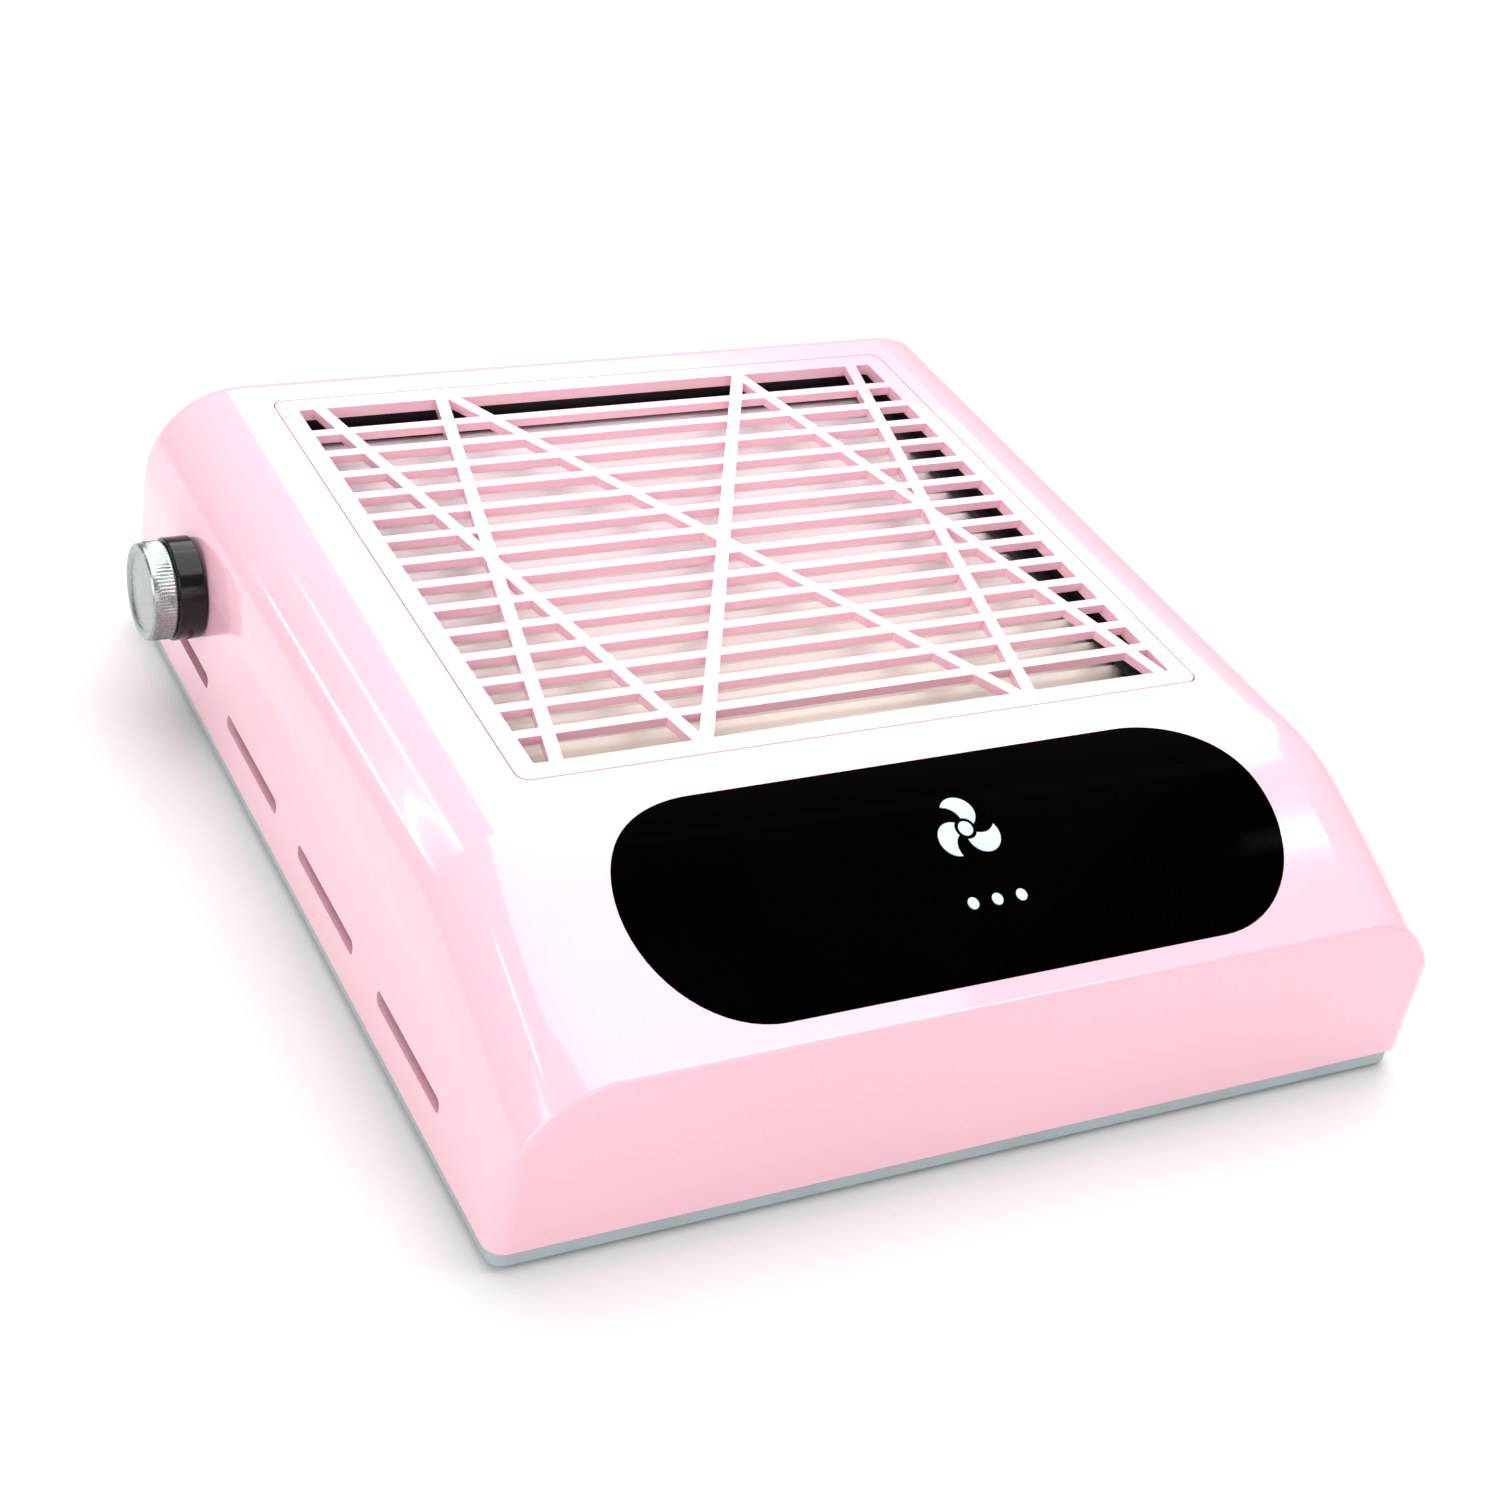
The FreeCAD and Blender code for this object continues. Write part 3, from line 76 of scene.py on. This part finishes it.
# Waves along a pleat: radians per metre, shift from one pleat to the next, start
PLEAT_SWAY = (41.0, 2.3, 0.0)
PLEAT_RIPPLE = (97.0, 5.1, 1.0)
PLEAT_SAG = (61.0, 3.7, 0.0)

# The filter's own warm tone lies in front of the first of these, and a painted pink reflection of the shell
# lies behind the second
FILTER_WARM_Y = -0.045
FILTER_PINK_REFLECTION_Y = 0.03

# Knurled cap of the knob
KNURLS = 84
KNURL_DEPTH = 0.22 * MM
KNURL_STEPS = 4
CAP_RIM = 1.2 * MM
CAP_DISH = 0.7 * MM
CAP_BORE_SHARE = 0.26
CAP_CENTRE = 0.0002
CAP_SHARP_ANGLE = math.radians(32.0)

# Foam strips
FOAM_CORNER = 0.0025
FOAM_WIDTH = 0.0055
FOAM_SECTION_STEPS = 12
FOAM_TURN_STEPS = 8
FOAM_STRAIGHT_STEPS = 24
FOAM_SQUARENESS = 0.35
FOAM_WAVER = 0.04
FOAM_WAVER_STEP = 1.7

# A wave texture's scale times the pitch of its bands, in metres
WAVE_PITCH = 0.314

FLOOR_HALF = 3.0

# Soft lights that face the body: name, place, two sides, watts
LIT_POINT = (0.0, 0.0, 0.04)
SOFT_LIGHTS = (
    ("overhead", (0.08, 0.15, 1.3), 1.5, 1.3, 15.0),
    ("back_soft", (0.55, 0.85, 0.95), 1.3, 0.8, 8.0),
    ("left_side", (-1.3, -0.5, 0.6), 1.0, 0.8, 7.0),
    ("front_fill", (0.1, -1.5, 0.6), 1.2, 0.7, 4.2),
)

# Strips whose reflections are the streaks in the gloss: name, two ends, width, point that they face
SHOULDER = (-0.107, -0.03, 0.06)
STREAK_LOW_END = (-0.76, 0.655, 0.26)
STREAK_HIGH_END = (-0.515, 0.655, 0.625)
STRIPS = (
    ("streak_low", STREAK_LOW_END, (-0.76, 0.90, 0.24), 0.014, SHOULDER),
    ("streak_high", STREAK_HIGH_END, (-0.515, 0.88, 0.60), 0.014, SHOULDER),
    ("streak_end", STREAK_LOW_END, STREAK_HIGH_END, 0.009, SHOULDER),
    ("slope_streak", (-0.81, 0.10, 0.74), (-0.85, -0.08, 0.72), 0.013, SHOULDER),
    ("right_bar", (0.76, -0.056, 1.0), (0.86, -0.056, 1.0), 0.03, (0.086, -0.1, 0.057)),
    ("crease_line", (0.28, -0.37, 0.9), (0.64, -0.37, 0.9), 0.04, (0.0, -0.12, 0.047)),
)


# ---------------------------------------------------------------- materials

def start_material(name):
    """New node material, with its nodes, a link function and its shader."""
    material = bpy.data.materials.new(name)
    material.use_nodes = True
    tree = material.node_tree
    shader = tree.nodes["Principled BSDF"]
    return material, tree.nodes, tree.links.new, shader


def object_coordinates(nodes, link, scale=(1.0, 1.0, 1.0)):
    """Texture space fixed to the piece, in metres."""
    place = nodes.new("ShaderNodeTexCoord")
    mapping = nodes.new("ShaderNodeMapping")
    mapping.inputs["Scale"].default_value = scale
    link(place.outputs["Object"], mapping.inputs["Vector"])
    return mapping.outputs["Vector"]


def noise(nodes, link, space, scale, detail=3.0, roughness=0.5):
    """Noise in a texture space, by features per metre."""
    texture = nodes.new("ShaderNodeTexNoise")
    texture.inputs["Scale"].default_value = scale
    texture.inputs["Detail"].default_value = detail
    texture.inputs["Roughness"].default_value = roughness
    link(space, texture.inputs["Vector"])
    return texture.outputs["Fac"]


def ranged(nodes, link, value, low, high, source_low=0.35, source_high=0.65):
    """A texture's value, mapped to a range."""
    mapper = nodes.new("ShaderNodeMapRange")
    mapper.inputs["From Min"].default_value = source_low
    mapper.inputs["From Max"].default_value = source_high
    mapper.inputs["To Min"].default_value = low
    mapper.inputs["To Max"].default_value = high
    link(value, mapper.inputs["Value"])
    return mapper.outputs["Result"]


def blended(nodes, link, share, first, second):
    """Two colours mixed by a share."""
    mix = nodes.new("ShaderNodeMix")
    mix.data_type = "RGBA"
    link(share, mix.inputs["Factor"])
    for socket, colour in (("A", first), ("B", second)):
        target = [s for s in mix.inputs if s.name == socket and s.type == "RGBA"][0]
        if isinstance(colour, bpy.types.NodeSocket):
            link(colour, target)
        else:
            target.default_value = (*colour, 1.0)
    return [s for s in mix.outputs if s.type == "RGBA"][0]


def bump(nodes, link, height, depth, normal=None):
    """Bump of a depth in metres."""
    node = nodes.new("ShaderNodeBump")
    node.inputs["Strength"].default_value = 1.0
    node.inputs["Distance"].default_value = depth
    link(height, node.inputs["Height"])
    if normal is not None:
        link(normal, node.inputs["Normal"])
    return node.outputs["Normal"]


def tinted(colour, factor):
    """A colour made darker or lighter."""
    return tuple(min(1.0, channel * factor) for channel in colour)


def moulded(name, colour, roughness, spread=0.05, grain=900.0, depth=0.00002, patch=25.0, coat=0.0,
            specular=0.5, rough_spread=0.05):
    """Moulded plastic or rubber: patches of slightly different tone, uneven gloss and a fine skin."""
    material, nodes, link, shader = start_material(name)
    space = object_coordinates(nodes, link)
    tone = ranged(nodes, link, noise(nodes, link, space, patch), 0.0, 1.0)
    link(blended(nodes, link, tone, tinted(colour, 1.0 - spread), tinted(colour, 1.0 + spread)),
         shader.inputs["Base Color"])
    gloss = noise(nodes, link, space, patch * 3.0, 4.0)
    link(ranged(nodes, link, gloss, roughness - rough_spread, roughness + rough_spread),
         shader.inputs["Roughness"])
    link(bump(nodes, link, noise(nodes, link, space, grain, 2.0), depth), shader.inputs["Normal"])
    shader.inputs["Specular IOR Level"].default_value = specular
    shader.inputs["Coat Weight"].default_value = coat
    shader.inputs["Coat Roughness"].default_value = 0.03
    return material


def metal(name, colour, roughness, stretch, grain=600.0, depth=0.000008, spread=0.08):
    """Bare metal with a directional grain: stretch is the space's scale along each axis."""
    material, nodes, link, shader = start_material(name)
    space = object_coordinates(nodes, link, stretch)
    lines = noise(nodes, link, space, grain, 5.0, 0.65)
    tone = ranged(nodes, link, lines, 0.0, 1.0)
    link(blended(nodes, link, tone, tinted(colour, 1.0 - spread), tinted(colour, 1.0 + spread)),
         shader.inputs["Base Color"])
    link(ranged(nodes, link, lines, roughness * 0.75, roughness * 1.3), shader.inputs["Roughness"])
    link(bump(nodes, link, lines, depth), shader.inputs["Normal"])
    shader.inputs["Metallic"].default_value = 1.0
    return material


def filter_material():
    """Pleated nonwoven: matted fibres, faint dust on the crests, its own warmer tone at the front, and
    painted pink reflection of the shell at the back and on the fibre streaks.
    """
    material, nodes, link, shader = start_material("filter_paper")
    space = object_coordinates(nodes, link)
    along = object_coordinates(nodes, link, (1.0, 6.0, 6.0))
    fibres = noise(nodes, link, along, 900.0, 6.0, 0.7)
    clumps = noise(nodes, link, space, 120.0, 4.0)
    split = nodes.new("ShaderNodeSeparateXYZ")
    link(space, split.inputs["Vector"])
    share = ranged(nodes, link, split.outputs["Y"], 0.0, 1.0, FILTER_WARM_Y, FILTER_PINK_REFLECTION_Y)
    # Painted pink reflection of the shell: the sheet's own cream at the front turns pink towards the back
    sheet = blended(nodes, link, share, (0.97, 0.94, 0.84), (0.98, 0.90, 0.92))
    fibre_tone = ranged(nodes, link, fibres, 0.0, 0.35, 0.3, 0.75)
    # Painted pink reflection of the shell, darker, along the fibre streaks
    fibres_pink_reflection = blended(nodes, link, fibre_tone, sheet, (0.88, 0.74, 0.74))
    clump_tone = ranged(nodes, link, clumps, 0.0, 0.25, 0.35, 0.75)
    link(blended(nodes, link, clump_tone, fibres_pink_reflection, (0.97, 0.93, 0.88)), shader.inputs["Base Color"])
    shader.inputs["Roughness"].default_value = 0.85
    shader.inputs["Sheen Weight"].default_value = 0.25
    shader.inputs["Specular IOR Level"].default_value = 0.2
    coarse = bump(nodes, link, clumps, 0.00008)
    link(bump(nodes, link, fibres, 0.00006, coarse), shader.inputs["Normal"])
    return material


def foam_material():
    """Closed-cell foam."""
    material, nodes, link, shader = start_material("foam_black")
    space = object_coordinates(nodes, link)
    cells = nodes.new("ShaderNodeTexVoronoi")
    cells.inputs["Scale"].default_value = 1600.0
    link(space, cells.inputs["Vector"])
    tone = ranged(nodes, link, cells.outputs["Distance"], 0.0, 1.0, 0.0, 0.7)
    link(blended(nodes, link, tone, (0.012, 0.012, 0.012), (0.05, 0.05, 0.05)), shader.inputs["Base Color"])
    link(bump(nodes, link, cells.outputs["Distance"], 0.00015), shader.inputs["Normal"])
    shader.inputs["Roughness"].default_value = 0.9
    return material


def banded(name, colour, dark, axis, pitch, roughness, metallic, share=0.5):
    """Material with fine parallel lines across an axis, such as stacked sheets or wound wire."""
    material, nodes, link, shader = start_material(name)
    space = object_coordinates(nodes, link)
    lines = nodes.new("ShaderNodeTexWave")
    lines.wave_type = "BANDS"
    lines.bands_direction = axis
    lines.inputs["Scale"].default_value = WAVE_PITCH / pitch
    lines.inputs["Distortion"].default_value = 0.0
    link(space, lines.inputs["Vector"])
    speckle = noise(nodes, link, space, 700.0, 4.0)
    tone = ranged(nodes, link, lines.outputs["Fac"], 0.0, 1.0, 0.0, share)
    link(blended(nodes, link, tone, dark, colour), shader.inputs["Base Color"])
    link(ranged(nodes, link, speckle, roughness - 0.06, roughness + 0.06), shader.inputs["Roughness"])
    link(bump(nodes, link, lines.outputs["Fac"], 0.00006), shader.inputs["Normal"])
    shader.inputs["Metallic"].default_value = metallic
    return material


def board_material():
    """Solder mask over copper tracks."""
    material, nodes, link, shader = start_material("board_green")
    space = object_coordinates(nodes, link, (1.0, 0.5, 1.0))
    tracks = nodes.new("ShaderNodeTexBrick")
    tracks.inputs["Scale"].default_value = 170.0
    tracks.inputs["Mortar Size"].default_value = 0.03
    tracks.inputs["Color1"].default_value = (0.010, 0.070, 0.030, 1.0)
    tracks.inputs["Color2"].default_value = (0.014, 0.090, 0.040, 1.0)
    tracks.inputs["Mortar"].default_value = (0.06, 0.22, 0.09, 1.0)
    link(space, tracks.inputs["Vector"])
    mottle = noise(nodes, link, space, 300.0)
    link(tracks.outputs["Color"], shader.inputs["Base Color"])
    link(ranged(nodes, link, mottle, 0.25, 0.4), shader.inputs["Roughness"])
    link(bump(nodes, link, tracks.outputs["Fac"], 0.00003), shader.inputs["Normal"])
    return material


def make_materials():
    """One material for each slot of the record, and a glossier black for the knob's skirt."""
    return {
        "shell_pink": moulded("shell_pink", (0.965, 0.56, 0.655), 0.12, spread=0.012, grain=420.0,
                              depth=0.0000022, patch=14.0, coat=0.6, rough_spread=0.03),
        "plate_black": moulded("plate_black", (0.0003, 0.0003, 0.0005), 0.08, spread=0.3, grain=700.0,
                               depth=0.000001, patch=30.0, specular=0.002, rough_spread=0.03),
        "skirt_black": moulded("skirt_black", (0.0015, 0.0015, 0.0015), 0.14, spread=0.3, grain=700.0,
                               depth=0.000001, patch=30.0, specular=0.35, rough_spread=0.03),
        "mark_grey": moulded("mark_grey", (0.60, 0.67, 0.72), 0.45, spread=0.06, grain=3000.0,
                             depth=0.00001, patch=300.0),
        "base_grey": moulded("base_grey", (0.44, 0.52, 0.53), 0.55, spread=0.05, grain=2400.0,
                             depth=0.00003, patch=40.0),
        "rubber_black": moulded("rubber_black", (0.018, 0.018, 0.019), 0.75, spread=0.2, grain=1800.0,
                                depth=0.00005, patch=90.0),
        "screw_steel": metal("screw_steel", (0.62, 0.62, 0.60), 0.30, stretch=(1.0, 1.0, 8.0)),
        "frame_black": moulded("frame_black", (0.007, 0.006, 0.007), 0.50, spread=0.25, grain=2600.0,
                               depth=0.00003, patch=60.0, specular=0.3),
        "filter_paper": filter_material(),
        "foam_black": foam_material(),
        "deck_grey": moulded("deck_grey", (0.20, 0.21, 0.22), 0.50, spread=0.06, grain=2400.0,
                             depth=0.00003, patch=50.0),
        "bracket_alu": metal("bracket_alu", (0.80, 0.80, 0.81), 0.28, stretch=(1.0, 1.0, 6.0)),
        "lamination_steel": banded("lamination_steel", (0.50, 0.50, 0.50), dark=(0.20, 0.20, 0.20),
                                   axis="Z", pitch=0.5 * MM, roughness=0.35, metallic=1.0),
        "winding_copper": banded("winding_copper", (0.72, 0.30, 0.12), dark=(0.25, 0.08, 0.03),
                                 axis="Z", pitch=0.35 * MM, roughness=0.30, metallic=1.0),
        "magnet_dark": moulded("magnet_dark", (0.03, 0.03, 0.032), 0.45, spread=0.2, grain=2000.0,
                               depth=0.00003, patch=200.0),
        "knob_metal": metal("knob_metal", (0.36, 0.40, 0.39), 0.26, stretch=(5.0, 1.0, 1.0), grain=900.0,
                            depth=0.000004, spread=0.10),
        "board_green": board_material(),
        "lead_sleeve": moulded("lead_sleeve", (0.02, 0.02, 0.022), 0.45, spread=0.15, grain=1500.0,
                               depth=0.00002, patch=200.0),
    }


def clothe(piece, material):
    """Give a piece one material."""
    piece.data.materials.clear()
    piece.data.materials.append(material)


# ---------------------------------------------------------------- pieces

def finished_piece(name, mesh, body, stands_for, material):
    """Object from a finished mesh, riding on its body in place of a CAD node."""
    piece = bpy.data.objects.new(name, mesh)
    bpy.context.scene.collection.objects.link(piece)
    clothe(piece, material)
    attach(piece, body)
    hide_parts(stands_for)
    return piece


def shade_smooth(mesh):
    """Smooth shading on every face."""
    mesh.polygons.foreach_set("use_smooth", [True] * len(mesh.polygons))


def pleat_wave(wave, x, pleat):
    """Height of one wave at a point along a pleat."""
    per_metre, shift, start = wave
    return math.sin(per_metre * x + shift * pleat + start)


def pleat_mesh():
    """Pleated sheet with rounded crests, each pleat a little out of line."""
    low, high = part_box("pleated_filter")
    pitch = (high.y - low.y) / PLEATS
    half_height = (high.z - low.z - PLEAT_SHEET) / 2
    middle_z = (high.z + low.z) / 2
    rows = PLEATS * PLEAT_STEPS
    mesh = bpy.data.meshes.new("filter_pleats")
    points = []
    for row in range(rows + 1):
        phase = row / PLEAT_STEPS
        swing = -math.cos(2 * math.pi * phase)
        sharp = math.copysign(1 - (1 - abs(swing)) ** PLEAT_SHARPNESS, swing)
        pleat = math.floor(phase + 0.5)
        inside = min(1.0, row / PLEAT_STEPS, (rows - row) / PLEAT_STEPS)
        for column in range(PLEAT_COLUMNS + 1):
            x = low.x + (high.x - low.x) * column / PLEAT_COLUMNS
            wander = pleat_wave(PLEAT_SWAY, x, pleat) + 0.6 * pleat_wave(PLEAT_RIPPLE, x, pleat)
            drop = 0.5 * (1.0 + pleat_wave(PLEAT_SAG, x, pleat))
            y = low.y + pitch * phase + PLEAT_WANDER * wander * inside * 0.6
            z = middle_z + half_height * sharp - (PLEAT_CREST_WANDER * drop if sharp > 0 else 0.0)
            points.append((x, y, z))
    stride = PLEAT_COLUMNS + 1
    faces = []
    for row in range(rows):
        for column in range(PLEAT_COLUMNS):
            first = row * stride + column
            faces.append((first, first + 1, first + stride + 1, first + stride))
    mesh.from_pydata(points, [], faces)
    mesh.update()
    shade_smooth(mesh)
    return mesh


def make_filter(material):
    """The pleated pack, as a sheet with thickness."""
    piece = finished_piece("filter_pleats", pleat_mesh(), "cartridge", "pleated_filter",
                           material)
    thicken = piece.modifiers.new("thickness", "SOLIDIFY")
    thicken.thickness = PLEAT_SHEET
    thicken.offset = 0.0


def make_knob_cap(material):
    """Turned cap: knurled band, polished rim and a dished face with fine turning rings."""
    low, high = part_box("knob_cap")
    centre_y = (low.y + high.y) / 2
    centre_z = (low.z + high.z) / 2
    radius = (high.y - low.y) / 2
    back = high.x
    front = low.x
    length = back - front
    bore = radius * CAP_BORE_SHARE
    # Profile from the hidden back, over the knurled band and the rim, into the dish
    profile = [
        (back, bore, 0.0),
        (back, radius - 0.5 * MM, 0.0),
        (back - 0.12 * length, radius - 0.1 * MM, 0.2),
        (back - 0.20 * length, radius, 1.0),
        (back - 0.70 * length, radius - 0.1 * MM, 1.0),
        (back - 0.76 * length, radius - 0.15 * MM, 0.0),
        (back - 0.92 * length, radius - 0.25 * MM, 0.0),
        (back - 0.985 * length, radius - 0.6 * MM, 0.0),
        (front, radius - CAP_RIM, 0.0),
        (front + 0.10 * MM, radius - 1.5 * CAP_RIM, 0.0),
        (front + CAP_DISH, radius - 2.1 * CAP_RIM, 0.0),
        (front + CAP_DISH, radius * 0.55, 0.0),
        (front + 0.8 * CAP_DISH, radius * 0.25, 0.0),
        (front + 0.75 * CAP_DISH, CAP_CENTRE, 0.0),
    ]
    around = KNURLS * KNURL_STEPS
    shape = bmesh.new()
    loops = []
    for x, ring_radius, knurl in profile:
        loop = []
        for step in range(around):
            angle = 2 * math.pi * step / around
            groove = abs(2.0 * (step % KNURL_STEPS) / KNURL_STEPS - 1.0)
            reach = ring_radius - knurl * KNURL_DEPTH * (1.0 - groove)
            y = centre_y + reach * math.cos(angle)
            z = centre_z + reach * math.sin(angle)
            loop.append(shape.verts.new((x, y, z)))
        loops.append(loop)
    for inner, outer in zip(loops, loops[1:]):
        for step in range(around):
            following = (step + 1) % around
            shape.faces.new((inner[step], inner[following], outer[following], outer[step]))
    shape.faces.new(loops[-1])
    bmesh.ops.recalc_face_normals(shape, faces=shape.faces)
    mesh = bpy.data.meshes.new("knob_cap_knurled")
    shape.to_mesh(mesh)
    shape.free()
    shade_smooth(mesh)
    finished_piece("knob_cap_knurled", mesh, "knob", "knob_cap", material)
    mesh.set_sharp_from_angle(angle=CAP_SHARP_ANGLE)


def squared(share):
    """A sine or cosine pushed towards its ends, which squares off a round section."""
    return math.copysign(abs(share) ** FOAM_SQUARENESS, share)


def foam_ring(name, node, width, body, material):
    """Foam strip round a rectangle, with soft long edges and a hand-cut waver."""
    low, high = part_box(node)
    half_height = (high.z - low.z) / 2
    middle_z = (high.z + low.z) / 2
    half_width = width / 2
    centre = (low + high) / 2
    reach_x = (high.x - low.x) / 2 - half_width
    reach_y = (high.y - low.y) / 2 - half_width
    path = []
    quarter_turns = [(1, -1, -90.0), (1, 1, 0.0), (-1, 1, 90.0), (-1, -1, 180.0)]
    for sign_x, sign_y, start in quarter_turns:
        middle = Vector((centre.x + sign_x * (reach_x - FOAM_CORNER),
                         centre.y + sign_y * (reach_y - FOAM_CORNER)))
        for step in range(FOAM_TURN_STEPS + 1):
            angle = math.radians(start + 90.0 * step / FOAM_TURN_STEPS)
            way = Vector((math.cos(angle), math.sin(angle)))
            path.append((middle + way * FOAM_CORNER, way))
    outline = []
    for index, (point, way) in enumerate(path):
        outline.append((point, way))
        following = path[(index + 1) % len(path)]
        if (following[0] - point).length > FOAM_CORNER:
            for step in range(1, FOAM_STRAIGHT_STEPS):
                outline.append((point.lerp(following[0], step / FOAM_STRAIGHT_STEPS), way))
    shape = bmesh.new()
    loops = []
    for index, (point, way) in enumerate(outline):
        waver = 1.0 - FOAM_WAVER * (1.0 + math.sin(FOAM_WAVER_STEP * index))
        loop = []
        for step in range(FOAM_SECTION_STEPS):
            angle = 2 * math.pi * step / FOAM_SECTION_STEPS
            across = squared(math.cos(angle)) * half_width * waver
            rise = squared(math.sin(angle)) * half_height
            place = point + way * across
            loop.append(shape.verts.new((place.x, place.y, middle_z + rise)))
        loops.append(loop)
    for index, loop in enumerate(loops):
        following = loops[(index + 1) % len(loops)]
        for step in range(FOAM_SECTION_STEPS):
            after = (step + 1) % FOAM_SECTION_STEPS
            shape.faces.new((loop[step], loop[after], following[after], following[step]))
    bmesh.ops.recalc_face_normals(shape, faces=shape.faces)
    mesh = bpy.data.meshes.new(name)
    shape.to_mesh(mesh)
    shape.free()
    shade_smooth(mesh)
    finished_piece(name, mesh, body, node, material)


# ---------------------------------------------------------------- stage, lights and camera

def make_floor():
    """Plain pale floor."""
    half = FLOOR_HALF
    mesh = bpy.data.meshes.new("floor")
    mesh.from_pydata([(-half, -half, 0), (half, -half, 0), (half, half, 0), (-half, half, 0)], [],
                     [(0, 1, 2, 3)])
    floor = bpy.data.objects.new("floor", mesh)
    bpy.context.scene.collection.objects.link(floor)
    material, nodes, link, shader = start_material("floor_white")
    space = object_coordinates(nodes, link)
    tone = ranged(nodes, link, noise(nodes, link, space, 3.0), 0.0, 1.0)
    link(blended(nodes, link, tone, (0.83, 0.83, 0.83), (0.85, 0.85, 0.85)), shader.inputs["Base Color"])
    shader.inputs["Roughness"].default_value = 0.9
    shader.inputs["Specular IOR Level"].default_value = 0.1
    clothe(floor, material)


def area_light(name, place, target, size_x, size_y, power):
    """Rectangular light that faces a point; the camera sees it only in reflections."""
    data = bpy.data.lights.new(name, "AREA")
    data.shape = "RECTANGLE"
    data.size = size_x
    data.size_y = size_y
    data.energy = power
    light = bpy.data.objects.new(name, data)
    way = (Vector(target) - Vector(place)).to_track_quat("-Z", "Y")
    light.matrix_world = Matrix.Translation(place) @ way.to_matrix().to_4x4()
    light.visible_camera = False
    bpy.context.scene.collection.objects.link(light)
    return light


def strip_light(name, start, end, width, target):
    """Thin bright light between two points, turned to a target: gloss shows it as a streak."""
    run = Vector(end) - Vector(start)
    middle = (Vector(start) + Vector(end)) / 2
    light = area_light(name, middle, target, run.length, width, STRIP_GLOW * run.length * width)
    along = run.normalized()
    facing = (Vector(target) - middle).normalized()
    facing = (facing - along * facing.dot(along)).normalized()
    turn = Matrix((along, along.cross(facing), -facing)).transposed()
    light.matrix_world = Matrix.Translation(middle) @ turn.to_4x4()


def make_lights():
    """Soft light overhead and from behind, weaker ones at the front and left, and strips for streaks."""
    for name, place, size_x, size_y, power in SOFT_LIGHTS:
        area_light(name, place, LIT_POINT, size_x, size_y, power)
    for name, start, end, width, target in STRIPS:
        strip_light(name, start, end, width, target)
    world = bpy.data.worlds.new("studio")
    world.use_nodes = True
    world.node_tree.nodes["Background"].inputs["Color"].default_value = (1.0, 1.0, 1.0, 1.0)
    world.node_tree.nodes["Background"].inputs["Strength"].default_value = WORLD_GLOW
    bpy.context.scene.world = world


def make_camera():
    """The viewing angle: round the object by azimuth and elevation, then rolled about the line of sight."""
    back = Vector((math.sin(AZIMUTH) * math.cos(ELEVATION), -math.cos(AZIMUTH) * math.cos(ELEVATION),
                   math.sin(ELEVATION)))
    data = bpy.data.cameras.new("camera")
    data.sensor_width = 36.0
    data.lens = LENS
    camera = bpy.data.objects.new("camera", data)
    turn = (-back).to_track_quat("-Z", "Y").to_matrix().to_4x4()
    camera.matrix_world = Matrix.Translation(TARGET + back * DISTANCE) @ turn @ Matrix.Rotation(ROLL, 4, "Z")
    bpy.context.scene.collection.objects.link(camera)
    bpy.context.scene.camera = camera


bpy.context.scene.view_settings.view_transform = "Standard"
materials = make_materials()
for node_name, node_object in NODES.items():
    clothe(node_object, materials[SLOTS[node_name]])

clothe(NODES["knob_skirt"], materials["skirt_black"])

make_camera()
make_filter(materials["filter_paper"])
make_knob_cap(materials["knob_metal"])
foam_ring("cartridge_seal", "filter_seal", FOAM_WIDTH, "cartridge", materials["foam_black"])
make_floor()
make_lights()
